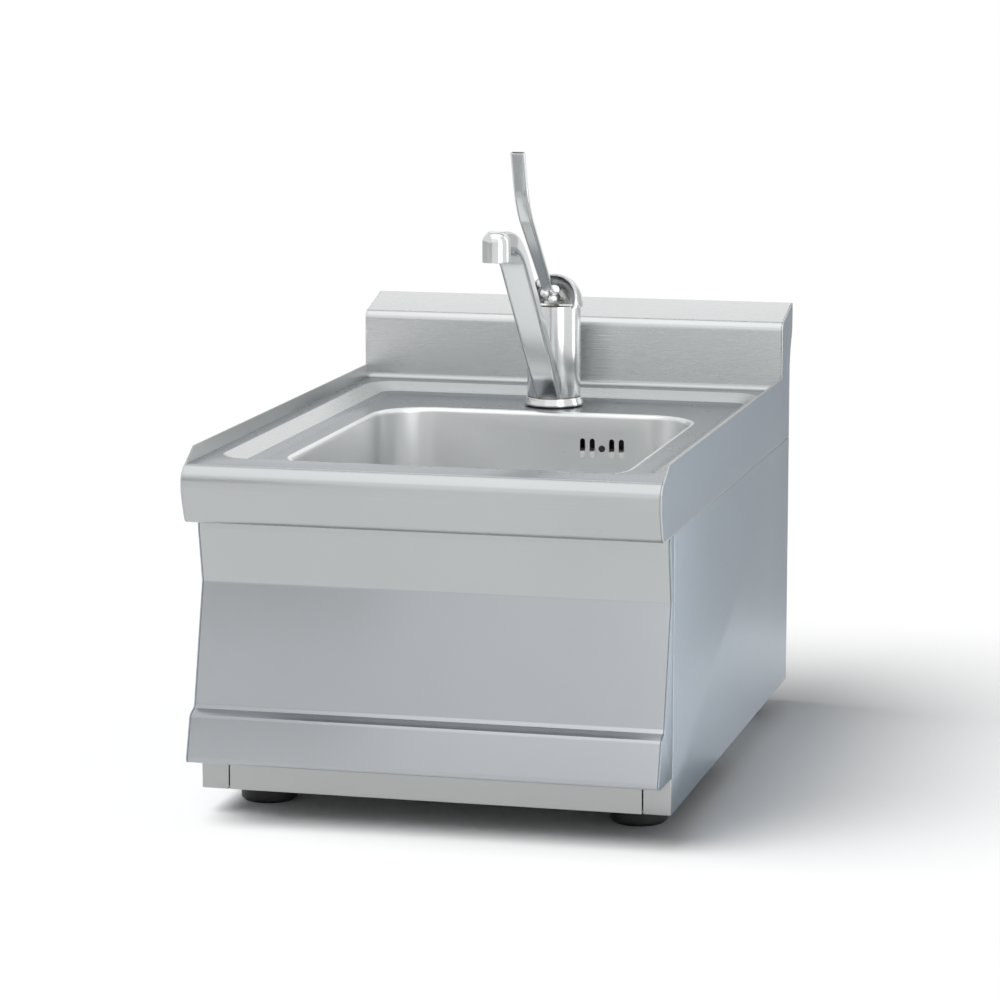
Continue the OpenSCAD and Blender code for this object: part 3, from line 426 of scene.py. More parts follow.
# %% Worktop: the main sizes, read from the frame
low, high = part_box("worktop")
FRONT, BACK, HALF_W = low.y, high.y, high.x
SKIRT, TOP = low.z, high.z
GAUGE = 1.5 * MM
RIM = SKIRT + 49 * MM
DECK = RIM - 10 * MM
SPLASH_Y = BACK - 53 * MM
BODY_BACK = BACK - 12.4 * MM
NOSE_SHARES = ((1, 0), (0.72, 0.022), (0.54, 0.085), (0.235, 0.34), (0.03, 0.55),
               (0, 0.63), (0.02, 0.77), (0.12, 0.85), (0.34, 0.927), (0.55, 0.975),
               (0.76, 1))
NOSE_RUN = 15 * MM
NOSE_ROUND = 12 * MM
nose = [(FRONT + a * NOSE_RUN, SKIRT + b * (RIM - SKIRT)) for a, b in NOSE_SHARES]
splash_edge = TOP - 12 * MM
splash_round = 9 * MM
splash_front = arc((SPLASH_Y + splash_round, splash_edge - splash_round), splash_round,
                   180, 106, 10)
back_fold = TOP - 24.5 * MM
splash_rear = [(BACK, TOP), (BACK, back_fold), (BACK - 8.27 * MM, back_fold - 16 * MM),
               (BODY_BACK, back_fold - 32 * MM), (BODY_BACK, SKIRT)]
cove = arc((SPLASH_Y - 5 * MM, RIM + 5 * MM), 5 * MM, -90, 0, 8)
print("rim at", round(RIM, 4), "deck at", round(DECK, 4))

# %% Worktop: the folded strip and its two side blanks
STRIP = HALF_W - GAUGE
UPTURN = 12 * MM
front_roll = soften([(FRONT + 27 * MM, SKIRT)] + nose, NOSE_ROUND)
strip_front = folded("strip_front", front_roll, -STRIP, STRIP)
strip_back = folded("strip_back", cove + splash_front + soften(splash_rear, 2 * MM, 3),
                    -STRIP, STRIP)
side_outline = (front_roll
                + [(FRONT + 33 * MM, RIM + UPTURN), (SPLASH_Y, RIM + UPTURN)]
                + splash_front + splash_rear)
blanks = [blank("side_blank_l", side_outline, -HALF_W, GAUGE),
          blank("side_blank_r", side_outline, HALF_W, -GAUGE)]
for side in blanks:
    pick(side, "EDGE", lambda p: abs(p.x) > HALF_W - 0.01 * MM)
    bpy.ops.mesh.bevel(offset=0.6 * MM, segments=2, affect="EDGES")
    leave()
print("the side blanks have", len(side_outline), "points each")

# %% [markdown]
# The recess is pressed step by step: each inset draws the outline in and each depth lowers
# it, first over a soft edge, then down a slope, then round a wide fillet onto the floor.

# %% Worktop: the recess
RECESS = dict(x=187 * MM, front=49 * MM, back=72 * MM, r=28 * MM)
CORNER_STEPS = 10


def rounded_plane(name, centre, width, depth, radius, steps=CORNER_STEPS):
    """A flat face with round corners, left in edit mode with the face selected."""
    nothing_selected()
    bpy.ops.mesh.primitive_plane_add(size=1, location=centre)
    piece = bpy.context.object
    piece.name = name
    piece.scale = (width, depth, 1)
    bpy.ops.object.transform_apply(location=True, scale=True)
    edit(piece)
    bpy.ops.mesh.select_mode(type="FACE")
    bpy.ops.mesh.select_all(action="SELECT")
    bpy.ops.mesh.bevel(offset=radius, segments=steps, affect="VERTICES", profile=0.5)
    bpy.ops.mesh.select_all(action="SELECT")
    return piece


def press(profile):
    """Draw the selected face in and down along a profile of (inset, drop) points."""
    for (a, b), (c, d) in zip(profile, profile[1:]):
        if c - a > 0.01 * MM:
            bpy.ops.mesh.inset(thickness=c - a, depth=b - d)
        else:
            extrude((0, 0, b - d))


def recess_profile(soft=3 * MM, slope=27.6, run=13 * MM, drop=10 * MM):
    """The (inset, drop) points of the recess's wall, and how far its soft edge leads out."""
    angle = math.radians(slope)
    fall = run * math.tan(angle)
    fillet = (drop - fall) / (1 - math.cos(angle))
    lead = soft * math.tan(angle / 2)
    inset = run + fillet * math.sin(angle)
    points = [(soft * math.sin(angle * i / 4), soft * (1 - math.cos(angle * i / 4)))
              for i in range(5)]
    points += [(inset + lead - fillet * math.sin(angle * (8 - i) / 8),
                drop - fillet * (1 - math.cos(angle * (8 - i) / 8))) for i in range(9)]
    return points, lead


recess_steps, lead = recess_profile()
recess_y = (RECESS["front"] - RECESS["back"]) / 2
recess_d = BACK - FRONT - RECESS["front"] - RECESS["back"]
recess = rounded_plane("recess", (0, recess_y, RIM), 2 * (RECESS["x"] + lead),
                       recess_d + 2 * lead, RECESS["r"] + lead)
press(recess_steps)
bowl_lip = 5 * MM
BOWL = dict(x=143.5 * MM, back=168.5 * MM, depth=340 * MM, r=45 * MM, h=150 * MM)
BOWL_Y = BACK - BOWL["back"] - BOWL["depth"] / 2
leave()
hole = rounded_plane("bowl_hole", (0, BOWL_Y, DECK), 2 * (BOWL["x"] + bowl_lip),
                     BOWL["depth"] + 2 * bowl_lip, BOWL["r"] + bowl_lip)
leave()
deck = join("deck", recess, hole)
bridge_level(deck, DECK)
leave()

# %% Worktop: the flat rim round the recess
rim_front, rim_back = nose[-1][0], cove[0][0]
nothing_selected()
bpy.ops.mesh.primitive_plane_add(size=1, location=(0, (rim_front + rim_back) / 2, RIM))
rim = bpy.context.object
rim.scale = (2 * STRIP, rim_back - rim_front, 1)
bpy.ops.object.transform_apply(location=True, scale=True)
edit(rim)
bpy.ops.mesh.select_all(action="SELECT")
bpy.ops.mesh.delete(type="ONLY_FACE")
leave()
deck = join("deck", deck, rim)


def on_rim_loops(p):
    return abs(p.z - RIM) < 0.05 * MM


pick(deck, "EDGE", on_rim_loops)
bpy.ops.mesh.bridge_edge_loops()
leave()
worktop = join("worktop_skin", strip_front, strip_back, deck)
face_out(worktop)
modify(worktop, "SOLIDIFY", thickness=GAUGE, offset=-1, use_even_offset=True)
for side in blanks:
    modify(side, "BEVEL", width=0.5 * MM, segments=2, limit_method="ANGLE",
           angle_limit=math.radians(40))
worktop = join("worktop_skin", worktop, *blanks)
smooth(worktop, 35)
dress(worktop, "steel", "unit", "worktop")


def in_deck(p):
    inside = abs(p.x) < HALF_W - 2 * GAUGE and p.y < SPLASH_Y - 4 * MM
    return inside and (p.z < DECK + 2.8 * MM and p.y > FRONT + 30 * MM
                       or abs(p.z - RIM) < 0.2 * MM)


def in_splash(p):
    wall = p.y > SPLASH_Y - 1 * MM and p.z > RIM + 4 * MM and abs(p.x) < HALF_W - 0.5 * MM
    slope = DECK + 2.8 * MM < p.z < RIM - 0.3 * MM and p.y > FRONT + 30 * MM
    return wall or slope and abs(p.x) < HALF_W - 2 * GAUGE and p.y < SPLASH_Y


def in_flank(p):
    return abs(p.x) > HALF_W - 0.03 * MM


# The deck and the rim get a darker copy of the steel: painted shade.
paint_light_and_shade(worktop, "deck_shaded_steel", in_deck)
# The splash and the recess slopes get a lighter copy of the steel: painted light.
paint_light_and_shade(worktop, "splash_lit_steel", in_splash)
# The flanks get a darker, bluer copy of the steel: painted shade.
paint_light_and_shade(worktop, "side_steel", in_flank)

# %% [markdown]
# The bowl is pressed the same way from its own rim: a rolled edge, upright walls, and a
# wide radius onto the floor.

# %% Bowl
roll, foot = 4 * MM, 25 * MM
bowl = rounded_plane("bowl_skin", (0, BOWL_Y, DECK), 2 * (BOWL["x"] + bowl_lip),
                     BOWL["depth"] + 2 * bowl_lip, BOWL["r"] + bowl_lip)
lip = bowl_lip - roll
bowl_steps = [(0, 0), (lip, 0)]
bowl_steps += [(lip + roll * math.sin(math.radians(a)), roll * (1 - math.cos(math.radians(a))))
               for a in range(15, 91, 15)]
bowl_steps += [(bowl_lip + foot * (1 - math.cos(math.radians(a))),
                BOWL["h"] - foot + foot * math.sin(math.radians(a)))
               for a in range(0, 91, 9)]
press(bowl_steps)
bowl_floor = DECK - BOWL["h"]
leave()
face_out(bowl)
modify(bowl, "SOLIDIFY", thickness=MM, offset=-1, use_even_offset=True)
smooth(bowl, 35)
# The bowl gets a lighter copy of the steel: painted light.
dress(bowl, "bowl_lit_steel", "unit", "sink_bowl", slot="steel")

# %% [markdown]
# The overflow is four upright slots with a screw between them, cut right through the back
# wall. Each cutter is a rounded outline drawn out, and a round one opens the floor for the
# waste's dish. The Boolean takes them all away at once.

# %% Overflow slots
def cut_away(piece, cutter):
    modify(piece, "BOOLEAN", operation="DIFFERENCE", object=cutter, solver="EXACT")
    bpy.data.objects.remove(cutter)


def rod(name, centre, radius, depth, axis="Z", vertices=48):
    rotation = {"Y": (math.pi / 2, 0, 0), "Z": (0, 0, 0)}[axis]
    nothing_selected()
    bpy.ops.mesh.primitive_cylinder_add(vertices=vertices, radius=radius, depth=depth,
                                        location=centre, rotation=rotation)
    piece = bpy.context.object
    piece.name = name
    bpy.ops.object.transform_apply(location=True, rotation=True)
    return piece


def block(name, low, high):
    nothing_selected()
    low, high = Vector(low), Vector(high)
    bpy.ops.mesh.primitive_cube_add(size=1, location=(low + high) / 2)
    piece = bpy.context.object
    piece.name = name
    piece.scale = high - low
    bpy.ops.object.transform_apply(location=True, scale=True)
    return piece


def turn(angle, centre, axis="X"):
    """Turn what is selected; the operator counts angles the other way round."""
    bpy.ops.transform.rotate(value=-angle, orient_axis=axis, center_override=tuple(centre))


def shift(step):
    bpy.ops.transform.translate(value=tuple(step))


def rounded_cutter(centre, width, depth, radius, height, upright=True):
    """A cutter with a rounded outline, standing up or lying along Y."""
    piece = rounded_plane("cutter", (0, 0, 0), width, depth, radius, 6)
    extrude((0, 0, height))
    bpy.ops.mesh.select_all(action="SELECT")
    bpy.ops.mesh.normals_make_consistent(inside=False)
    shift((0, 0, -height / 2))
    if not upright:
        turn(math.pi / 2, (0, 0, 0))
    shift(centre)
    leave()
    return piece


SLOT = dict(x=55.5 * MM, z=DECK - 32 * MM, w=4.8 * MM, h=18 * MM, step=9 * MM)
wall = BOWL_Y + BOWL["depth"] / 2
cutters = [rod("cutter", (SLOT["x"], wall, SLOT["z"]), 1.7 * MM, 8 * MM, "Y")]
for i in (-2, -1, 1, 2):
    cutters.append(rounded_cutter((SLOT["x"] + i * SLOT["step"], wall, SLOT["z"]),
                                  SLOT["w"], SLOT["h"], SLOT["w"] / 2 * 0.995, 8 * MM,
                                  upright=False))
DISH_R = 45  # in millimetres, as the turned pieces are
cutters.append(rod("cutter", (0, BOWL_Y, bowl_floor), DISH_R * MM, 8 * MM, vertices=96))
cut_away(bowl, join("cutter", *cutters))
smooth(bowl, 35)
tongues = [rounded_cutter((SLOT["x"] + i * SLOT["step"], wall + 0.85 * MM, SLOT["z"]),
                          SLOT["w"] - 0.2 * MM, SLOT["h"] - 0.2 * MM, SLOT["w"] / 2 * 0.95,
                          1.6 * MM, upright=False) for i in (-2, -1, 1, 2)]
insert = join("overflow_tongues", *tongues)
cut_away(insert, block("cutter", (0, wall - 9 * MM, SLOT["z"] - SLOT["h"] * 0.16),
                       (2 * SLOT["x"], wall + 9 * MM, DECK)))
smooth(insert, 35)
dress(insert, "white_plastic", "unit")
print("slots cut:", len(bowl.data.polygons), "faces in the bowl")

# %% [markdown]
# The front panel is a folded sheet as well: in from behind the nosing, out over a step,
# in to the waist, then down and out to a beak over the plinth. Its section is drawn
# whole, both faces of the sheet, and extruded across.

# %% Front panel
def offset_back(points, gauge):
    """The other face of a sheet, gauge to the right of the way that the path runs."""
    out = []
    for i, p in enumerate(points):
        a = Vector(points[max(i - 1, 0)])
        b = Vector(points[min(i + 1, len(points) - 1)])
        p = Vector(p)
        u = (p - a).normalized() if i else (b - p).normalized()
        v = (b - p).normalized() if i < len(points) - 1 else u
        side = (Vector((u.y, -u.x)) + Vector((v.y, -v.x))).normalized()
        lean = max(0.4, side.dot(Vector((u.y, -u.x))))
        out.append(tuple(p + side * gauge / lean))
    return out


def section(name, profile, x_left, x_right, gauge, rounding=0.3 * MM):
    """A sheet of full thickness along a profile of (y, z) points, with soft raw edges."""
    outline = list(profile) + offset_back(profile, gauge)[::-1]
    piece = blank(name, outline, x_left, x_right - x_left)
    modify(piece, "BEVEL", width=rounding, segments=2, limit_method="ANGLE",
           angle_limit=math.radians(60))
    smooth(piece, 30)
    return piece


low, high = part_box("front_panel")
SKIN = 1.2 * MM
PANEL_X, PANEL_LOW = high.x, low.z
WAIST_Y, WAIST_Z = FRONT + 50.2 * MM, PANEL_LOW + 146 * MM
TOP_Y = FRONT + 41.2 * MM
BEAK_SHARES = ((1, 1.31), (0.975, 1.21), (0.867, 1.13), (0.64, 1.08), (0.49, 1.036),
               (0.425, 0.977), (0.02, 0.177), (0, 0.1), (0.058, 0.047), (0.25, 0.02))
BEAK_Y, BEAK_RUN, BEAK_H = FRONT + 2.2 * MM, 24 * MM, 38.5 * MM
beak = [(BEAK_Y + a * BEAK_RUN, PANEL_LOW + b * BEAK_H) for a, b in BEAK_SHARES]
fascia = [(TOP_Y, SKIRT + 12 * MM), (TOP_Y, SKIRT - 10 * MM), (WAIST_Y, WAIST_Z)]
fascia = (soften(fascia + beak[:1], 7 * MM, 6)[:-1] + soften(beak, 1.6 * MM, 3)
          + [(FRONT + 52 * MM, PANEL_LOW)])
front_panel = section("front_panel_skin", fascia, -PANEL_X, PANEL_X, -SKIN)
# Below the waist the panel gets a darker copy of the steel, painted shade; the part above the
# waist gets the worktop's steel.
dress(front_panel, "panel_shaded_steel", "unit", "front_panel", slot="steel")
paint_light_and_shade(front_panel, "steel", lambda p: p.z > WAIST_Z)

# %% Cheeks at the panel's ends
CHEEK_BACK = FRONT + 55.1 * MM
for name, x, gauge in (("left_front_cheek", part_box("left_front_cheek")[0].x, SKIN),
                       ("right_front_cheek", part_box("right_front_cheek")[1].x, -SKIN)):
    cheek_top = SKIRT - 0.2 * MM
    outline = [p for p in fascia if p[1] < cheek_top]
    outline = [(TOP_Y, cheek_top)] + outline + [(CHEEK_BACK, PANEL_LOW), (CHEEK_BACK, cheek_top)]
    cheek = blank(name + "_skin", outline, x, gauge)
    modify(cheek, "BEVEL", width=0.3 * MM, segments=2, limit_method="ANGLE",
           angle_limit=math.radians(50))
    smooth(cheek, 30)
    # The cheeks get the darker, bluer copy of the steel: painted shade.
    dress(cheek, "side_steel", "unit", name, slot="steel")

# %% [markdown]
# Each side panel starts as one flat face in the shape of the side. Its edge is extruded
# inward to make the returns all round, and Solidify and Bevel give the folded look.

# %% Side panels
RETURN = 23.2 * MM


def side_panel(name, x, inward):
    low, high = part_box(name)
    plinth_y, back = low.y, high.y
    web_y, floor_z, top_z = plinth_y + 8.5 * MM, low.z, high.z
    outline = [(plinth_y, floor_z), (back, floor_z), (back, top_z), (web_y, top_z),
               (web_y, PANEL_LOW), (plinth_y, PANEL_LOW)]
    piece = start_at(name + "_skin", (x, *outline[0]))
    draw_along([(x, y, z) for y, z in outline])
    bpy.ops.mesh.select_all(action="SELECT")
    bpy.ops.mesh.edge_face_add()
    bpy.ops.mesh.select_all(action="SELECT")
    extrude((inward * RETURN, 0, 0))
    bpy.ops.mesh.delete(type="ONLY_FACE")
    pick(piece, "FACE", lambda p: abs(p.x - x) < 0.1 * MM)
    bpy.ops.mesh.delete(type="ONLY_FACE")
    pick(piece, "EDGE", lambda p: abs(p.x - x) < 0.1 * MM)
    bpy.ops.mesh.edge_face_add()
    face_out(piece)
    modify(piece, "SOLIDIFY", thickness=SKIN, offset=-1, use_even_offset=True)
    modify(piece, "BEVEL", width=0.9 * MM, segments=3, limit_method="ANGLE",
           angle_limit=math.radians(50), use_clamp_overlap=True)
    smooth(piece, 35)
    # The side panel gets the darker, bluer copy of the steel: painted shade.
    dress(piece, "side_steel", "unit", name)
    # The plinth strip gets another darker copy of the steel: painted shade.
    paint_light_and_shade(piece, "plinth_shaded_steel", lambda p: p.y < plinth_y + 1.5 * MM)


side_panel("left_side_panel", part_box("left_side_panel")[0].x, 1)
side_panel("right_side_panel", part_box("right_side_panel")[1].x, -1)

# %% [markdown]
# The tray that closes the bottom carries the plinth's face. Its two large holes are for the
# waste and for supply hoses, which aren't part of the model, and four small ones are for
# the feet. The back has one large hole with round corners, and six for its screws.

# %% Tray, plinth and back
def soften_edges(piece, width, segments=2, angle=40):
    modify(piece, "BEVEL", width=width, segments=segments, limit_method="ANGLE",
           angle_limit=math.radians(angle))
    smooth(piece, 35)
    modify(piece, "WEIGHTED_NORMAL", keep_sharp=True)


low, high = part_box("base_panel")
tray = block("base_panel_skin", (low.x, low.y + SKIN, low.z + SKIN),
             (high.x, high.y, low.z + 2 * SKIN))
cut_away(tray, rounded_cutter((0, BOWL_Y, low.z), 200 * MM, 220 * MM, 8 * MM, 20 * MM))
cut_away(tray, rounded_cutter((0, BACK - 119 * MM, low.z), 60 * MM, 40 * MM, 8 * MM, 20 * MM))
for corner in ("front_left", "front_right", "back_left", "back_right"):
    stem_low, stem_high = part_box(corner + "_stem")
    centre = (stem_low + stem_high) / 2
    cut_away(tray, rod("cutter", (centre.x, centre.y, low.z), 6 * MM, 20 * MM))
lip_x = HALF_W - 24.2 * MM
lip = block("lip", (-lip_x, low.y, low.z), (lip_x, low.y + SKIN, high.z))
tray = join("base_panel_skin", tray, lip)
soften_edges(tray, 0.3 * MM)
# The tray and its plinth face get a darker copy of the steel: painted shade.
dress(tray, "plinth_shaded_steel", "unit", "base_panel", slot="steel")

low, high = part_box("rear_panel")
rear = block("rear_panel_skin", low, high)
cut_away(rear, rounded_cutter((0, (low.y + high.y) / 2, PANEL_LOW + 75 * MM),
                              240 * MM, 110 * MM, 8 * MM, 20 * MM, upright=False))
for s in (-1, 1):
    for i in range(3):
        z = PANEL_LOW + i * (SKIRT - PANEL_LOW - 30 * MM) / 2
        cut_away(rear, rod("cutter", (s * 187.8 * MM, high.y, z), 2.1 * MM, 8 * MM, "Y", 24))
soften_edges(rear, 0.3 * MM)
# The back gets the darker, bluer copy of the steel: painted shade.
dress(rear, "side_steel", "unit", "rear_panel")

# %% [markdown]
# Round pieces are spun: a profile of (radius, height) points is drawn as a chain in the
# plane of the axis and turned right round with Spin.

# %% Tools for turned pieces
TAP = Vector((0, BACK - 123 * MM, DECK))
REACH = 217 * MM
MOUTH = 154.5


def turned(name, profile, axis=TAP, steps=72, closed=False):
    """Spin a profile of (radius, height) points in millimetres round an upright axis."""
    points = [(axis[0] + r * MM, axis[1], axis[2] + h * MM) for r, h in profile]
    if closed:
        points.append(points[0])
    piece = start_at(name, points[0])
    draw_along(points)
    bpy.ops.mesh.select_all(action="SELECT")
    bpy.ops.mesh.spin(steps=steps, angle=math.tau, center=tuple(axis), axis=(0, 0, 1))
    face_out(piece)
    smooth(piece, 30)
    return piece


foot_ring = turned("tap_foot_skin", soften(
    [(22.5, 1.2), (27, 1.2), (27, 2.6), (26.3, 4.6), (25.5, 6.6), (25.1, 8.4), (22.5, 8.4)],
    0.8, 3), closed=True)
dress(foot_ring, "chrome", "unit", "tap_foot")

ring = turned("aerator_ring_skin", soften(
    [(9.1, 0.4), (9.5, 0.25), (10.3, 0.25), (10.4, 0.9), (10.4, 10), (9.1, 10)], 0.2, 2),
    axis=Vector((0, TAP.y - REACH, TAP.z + MOUTH * MM)), closed=True)
dress(ring, "chrome", "spout", "aerator_ring")

# %% [markdown]
# The waste sits in a round dish, a turned ring that fills the hole in the bowl's floor.

# %% Dish
dish = turned("bowl_dish_skin", [
    (DISH_R, 0), (44, -0.35), (41, -3.15), (40, -3.5), (26, -3.5), (26, -4.5), (39.6, -4.5),
    (40.6, -4.1), (43.6, -1.35), (DISH_R, -1)], axis=Vector((0, BOWL_Y, bowl_floor)),
    steps=96, closed=True)
# The dish gets the bowl's lighter copy of the steel: painted light.
dress(dish, "bowl_lit_steel", "unit", slot="steel")

# %% [markdown]
# The spout's arm starts as one rounded rectangle standing on the slope. It is extruded up
# the slope, then turned step by step round the bend's middle until it lies level. The
# column and the head are turned pieces, and a Boolean makes the three one skin.

# %% Spout
ARM = dict(w=24.4 * MM, t=15 * MM, r=3.6 * MM, root=19 * MM, off=4.5 * MM, turn_r=95.36 * MM,
           level=173 * MM)
ROOT_TILT = math.radians(45)
BEND_STEPS, NARROW_STEPS, NARROW_SHARE = 12, 4, 0.92

slope = Vector((0, -math.cos(ROOT_TILT), math.sin(ROOT_TILT)))
bend_y = REACH - ARM["turn_r"] * math.sin(ROOT_TILT)
spout = rounded_plane("spout_skin", (0, 0, 0), ARM["w"], ARM["t"], ARM["r"], 5)
turn(ROOT_TILT, (0, 0, 0))
shift(TAP + Vector((0, -ARM["root"], ARM["root"] - ARM["off"])))
extrude(slope * (bend_y - ARM["root"]) / math.cos(ROOT_TILT))
bend_centre = TAP + Vector((0, -REACH, ARM["level"] - ARM["turn_r"]))
for i in range(BEND_STEPS):
    extrude((0, 0, 0))
    turn(ROOT_TILT / BEND_STEPS, bend_centre)
    if i >= BEND_STEPS - NARROW_STEPS:
        bpy.ops.transform.resize(value=(NARROW_SHARE, 1, 1), center_override=tuple(TAP))
face_out(spout)
OUTLET = TAP + Vector((0, -REACH, 0))
HEAD_R = 12.3
head_side = [(0, MOUTH), (HEAD_R - 0.5, MOUTH), (HEAD_R, MOUTH + 0.5), (HEAD_R, 166)]
head_dome = arc((HEAD_R - 9.5, 171.2), 9.5, 0, 90, 12)
head = turned("head", head_side + [(r - 0.1, h) for r, h in head_dome] + [(0, 180.7)],
              axis=OUTLET)
column = turned("column", [(0, 8.8), (24.1, 8.8), (24.5, 9.2), (24.5, 93), (0, 93)], steps=96)


def unite(piece, other):
    modify(piece, "BOOLEAN", operation="UNION", object=other, solver="EXACT")
    bpy.data.objects.remove(other)


unite(spout, head)
unite(spout, column)
cut_away(spout, rod("cutter", TAP + Vector((0, 0, 50 * MM)), 22.3 * MM, 100 * MM,
                    vertices=96))
cut_away(spout, rod("cutter", OUTLET + Vector((0, 0, 162 * MM)), 10.5 * MM, 17 * MM))
soften_edges(spout, 0.5 * MM, 2, 50)
dress(spout, "chrome", "spout", "spout")

# %% [markdown]
# The hood is half a ball on a short skirt. Bisect opens it in front along a leaning plane,
# and Solidify then gives the shell its wall.

# %% Hood
HOOD_R, HOOD_LOW, HOOD_Z = 26.5, 91.5, 94.5
hood_profile = [(HOOD_R, HOOD_LOW)] + arc((0, HOOD_Z), HOOD_R, 0, 90, 20)
hood = turned("hood_skin", hood_profile, steps=96)
LEAN = math.radians(25.4)
OPEN_AT = TAP + Vector((0, -16 * MM, HOOD_LOW * MM))
OPEN_WAY = (0, -math.cos(LEAN), math.sin(LEAN))
edit(hood)
bpy.ops.mesh.select_all(action="SELECT")
bpy.ops.mesh.bisect(plane_co=OPEN_AT, plane_no=OPEN_WAY, clear_outer=True)
bpy.ops.mesh.select_all(action="SELECT")
bpy.ops.mesh.normals_make_consistent(inside=False)
leave()
modify(hood, "SOLIDIFY", thickness=1.7 * MM, offset=-1, use_even_offset=True)
modify(hood, "BEVEL", width=0.6 * MM, segments=3, limit_method="ANGLE",
       angle_limit=math.radians(50))
hood_floor = turned("floor", [(9.6, 93.4), (24.7, 93.4), (24.7, 95.1), (9.6, 95.1)],
                    closed=True)
edit(hood_floor)
bpy.ops.mesh.select_all(action="SELECT")
bpy.ops.mesh.bisect(plane_co=OPEN_AT, plane_no=OPEN_WAY, clear_outer=True, use_fill=True)
leave()
hood = join("hood_skin", hood, hood_floor)
smooth(hood, 35)
dress(hood, "chrome", "hood", "hood")

# %% [markdown]
# The lever leaves the hood through a cluster of knobs, in a lighter copy of the chrome that
# is painted highlight. The lever is swept from a rounded rectangle that widens on its way,
# and its end has a shallow groove.

# %% Lever
ROOT = TAP + Vector((0, -22.6 * MM, 107.7 * MM))
KNOBS = ((-7.4, 0.8, 6.6, 3.7), (-3, -1.2, -1.8, 4.3), (5.6, 0.4, 0.8, 4.9),
         (4, -1.2, -7.2, 4.2))


def ball(name, centre, radius):
    nothing_selected()
    bpy.ops.mesh.primitive_uv_sphere_add(segments=48, ring_count=24, radius=radius,
                                         location=centre)
    bpy.context.object.name = name
    bpy.ops.object.transform_apply(location=True)
    return bpy.context.object


knobs = [ball("knob", ROOT + Vector((x, y, z)) * MM, r * MM) for x, y, z, r in KNOBS]
bar = block("bar", TAP + Vector((-5, -21, 104.5)) * MM, TAP + Vector((5, 6, 111.5)) * MM)
modify(bar, "BEVEL", width=2 * MM, segments=4, limit_method="ANGLE",
       angle_limit=math.radians(50))
hub = join("lever_hub_skin", *knobs, bar)
smooth(hub, 35)
# The knobs' lighter chrome is painted highlight.
dress(hub, "knob_lit_chrome", "lever", "lever_hub", slot="chrome")

LEVER = dict(slope=40.5, end_slope=70.6, straight=108, bend=46, end=182.8, thick=5.5)


def lever_path(steps=14):
    """Points along the lever with the slope and the width at each, in millimetres."""
    y, z, length = 0.0, 0.0, 0.0
    marks = [5.5, 20, 60] + [LEVER["straight"] + LEVER["bend"] * i / steps
                             for i in range(steps + 1)] + [166, 174, LEVER["end"]]
    path = []
    for mark in marks:
        while length < mark - 1e-9:
            step = min(0.5, mark - length)
            t = (length + step / 2 - LEVER["straight"]) / LEVER["bend"]
            t = min(1, max(0, t))
            angle = LEVER["slope"] + (LEVER["end_slope"] - LEVER["slope"]) * t
            y -= step * math.cos(math.radians(angle))
            z += step * math.sin(math.radians(angle))
            length += step
        t = min(1, max(0, (mark - LEVER["straight"]) / LEVER["bend"]))
        angle = LEVER["slope"] + (LEVER["end_slope"] - LEVER["slope"]) * t
        width = 10 + 3 * min(1, mark / 136)
        path.append((y, z, angle, width))
    return path


path = lever_path()
lever = rounded_plane("lever_skin", (0, 0, 0), path[0][3] * MM, LEVER["thick"] * MM,
                      1.9 * MM, 5)
turn(math.radians(90 - path[0][2]), (0, 0, 0))
here = ROOT + Vector((0, path[0][0], path[0][1])) * MM
shift(here)
for a, b in zip(path, path[1:]):
    there = ROOT + Vector((0, b[0], b[1])) * MM
    extrude(there - here)
    turn(math.radians(a[2] - b[2]), there)
    bpy.ops.transform.resize(value=(b[3] / a[3], 1, 1), center_override=tuple(there))
    here = there
bpy.ops.mesh.inset(thickness=1.2 * MM, depth=0)
end_angle = math.radians(LEVER["end_slope"])
extrude(Vector((0, math.cos(end_angle), -math.sin(end_angle))) * 3 * MM)
face_out(lever)
soften_edges(lever, 0.4 * MM, 2, 60)
dress(lever, "chrome", "lever", "lever")

# %% [markdown]
# The feet are low round pads on threaded stems.

# %% Feet
for corner in ("front_left", "front_right", "back_left", "back_right"):
    low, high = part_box(corner + "_pad")
    centre = (low + high) / 2
    axis = Vector((centre.x, centre.y, 0))
    r, h = (high.x - low.x) / 2 / MM, high.z / MM
    pad = turned(corner + "_pad_skin", soften(
        [(0, 0), (r - 2.5, 0), (r, 2.5), (r, 12), (r - 1.2, 13), (r - 1.2, h - 2),
         (r - 4, h), (5.2, h)], 0.8, 3), axis=axis, steps=64)
    dress(pad, "pad_rubber", corner + "_foot", corner + "_pad")

# %% [markdown]
# The floor is a plain pale sheet that takes the unit's soft shadow. The world is white where
# the camera sees it or the metal mirrors it, and much dimmer where it lights dull surfaces.
# Lamps and cards that only reflections show give the metal its bright and dark bands.

# %% Floor and light
WHITE = (1, 1, 1, 1)


def white_floor():
    bpy.ops.mesh.primitive_plane_add(size=40)
    floor = bpy.context.object
    floor.name = "studio_floor"
    sheet = Finish("studio_floor")
    sheet.set(Base_Color=(0.9, 0.9, 0.9, 1), Roughness=1.0, Specular_IOR_Level=0.0)
    floor.data.materials.append(sheet.material)
    return floor


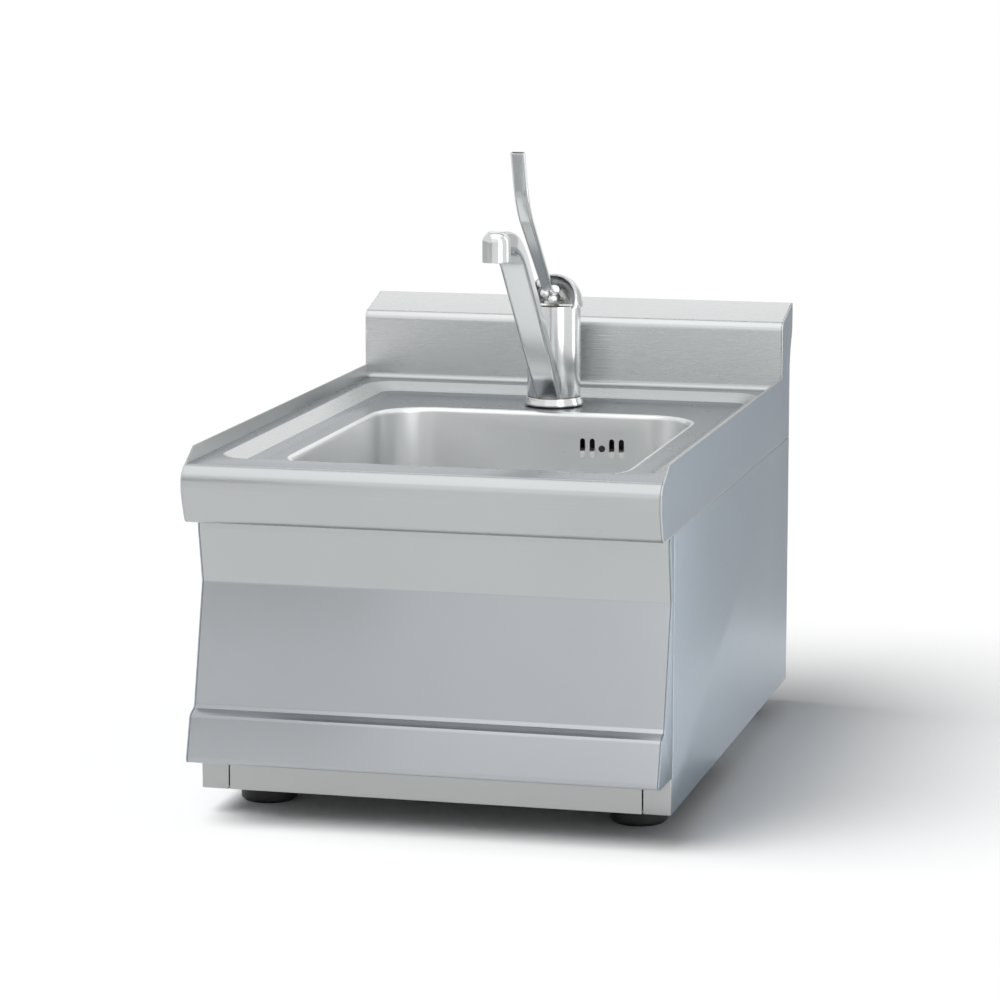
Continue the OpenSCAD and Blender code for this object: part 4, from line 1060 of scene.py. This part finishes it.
def studio_world():
    world = bpy.data.worlds.new("studio")
    bpy.context.scene.world = world
    world.use_nodes = True
    nodes, links = world.node_tree.nodes, world.node_tree.links
    back = nodes["Background"]
    back.inputs["Color"].default_value = WHITE
    back.inputs["Strength"].default_value = 0.3
    seen = nodes.new("ShaderNodeBackground")
    seen.inputs["Color"].default_value = WHITE
    seen.inputs["Strength"].default_value = 1.0
    ray = nodes.new("ShaderNodeLightPath")
    total = ray.outputs["Is Camera Ray"]
    for other in ("Is Glossy Ray", "Is Transmission Ray"):
        add = nodes.new("ShaderNodeMath")
        add.operation = "ADD"
        add.use_clamp = True
        links.new(total, add.inputs[0])
        links.new(ray.outputs[other], add.inputs[1])
        total = add.outputs[0]
    choice = nodes.new("ShaderNodeMixShader")
    links.new(total, choice.inputs[0])
    links.new(back.outputs[0], choice.inputs[1])
    links.new(seen.outputs[0], choice.inputs[2])
    links.new(choice.outputs[0], nodes["World Output"].inputs[0])


def sun_light(name, source, power, spread):
    """A wide soft sun; only dull surfaces answer to it, so the metal keeps an even tone."""
    bpy.ops.object.light_add(type="SUN", location=source)
    lamp = bpy.context.object
    lamp.name = name
    lamp.rotation_euler = Vector(source).to_track_quat("Z", "Y").to_euler()
    lamp.data.energy = power
    lamp.data.angle = math.radians(spread)
    lamp.visible_glossy = False
    return lamp


def strip_light(name, azimuth, distance, middle, size, power, aim=None):
    """A lamp that only the metal's reflections show, at an azimuth from the front."""
    a = math.radians(azimuth)
    place = Vector((distance * math.sin(a), -distance * math.cos(a), middle))
    aim = Vector(aim or (0, 0, middle))
    bpy.ops.object.light_add(type="AREA", location=place)
    lamp = bpy.context.object
    lamp.name = name
    lamp.rotation_euler = (aim - place).to_track_quat("-Z", "Y").to_euler()
    lamp.data.shape = "RECTANGLE"
    lamp.data.size, lamp.data.size_y = size
    lamp.data.energy = power
    lamp.visible_camera = lamp.visible_diffuse = False
    return lamp


def card(name, centre, size, tone, facing="Y"):
    """A sheet that only the metal's reflections show."""
    turned = {"X": (math.pi / 2, 0, math.pi / 2), "Y": (math.pi / 2, 0, 0), "Z": (0, 0, 0)}
    bpy.ops.mesh.primitive_plane_add(size=1, location=centre, rotation=turned[facing])
    piece = bpy.context.object
    piece.name = name
    piece.scale = (size[0], size[1], 1)
    sheet = Finish(name)
    sheet.set(Base_Color=(tone, tone, tone, 1), Roughness=1.0, Specular_IOR_Level=0.0)
    piece.data.materials.append(sheet.material)
    piece.visible_camera = piece.visible_diffuse = piece.visible_shadow = False
    return piece


white_floor()
studio_world()
bpy.context.scene.view_settings.view_transform = "Standard"
sun_light("key_sun", (-0.9, -0.55, 1.6), 3.1, 50)
strip_light("tap_strip_front", 47, 1.1, 0.75, (0.5, 1.5), 5)
strip_light("tap_strip_side", 118, 1.1, 0.75, (0.3, 1.5), 3)
strip_light("back_sky", 180, 2.2, 2.0, (2.4, 1.4), 3, (0, 0.2, 0.35))
strip_light("top_sky", 0, 0.65, 2.4, (2.4, 3.0), 12, (0, -0.64, 0))
strip_light("front_sky", 0, 3.0, 1.9, (3.0, 1.2), 2.8, (0, 0, 0.3))
strip_light("side_glow", 107, 0.52, 0.006, (0.6, 0.9), 0.7, (0.5, 0.15, 2))
card("side_card", (0.85, 0.62, 0.3), (1.3, 0.6), 0.8)
card("dark_card", (0, 1.4, 2.4), (3.0, 0.35), 0.02, facing="Z")
card("tap_card_front", (-0.72, -0.75, 0.44), (0.94, 0.24), 0.98)
card("tap_card_left", (-1.15, 0.1, 0.44), (1.7, 0.36), 0.98, facing="X")
print("floor and light are set")
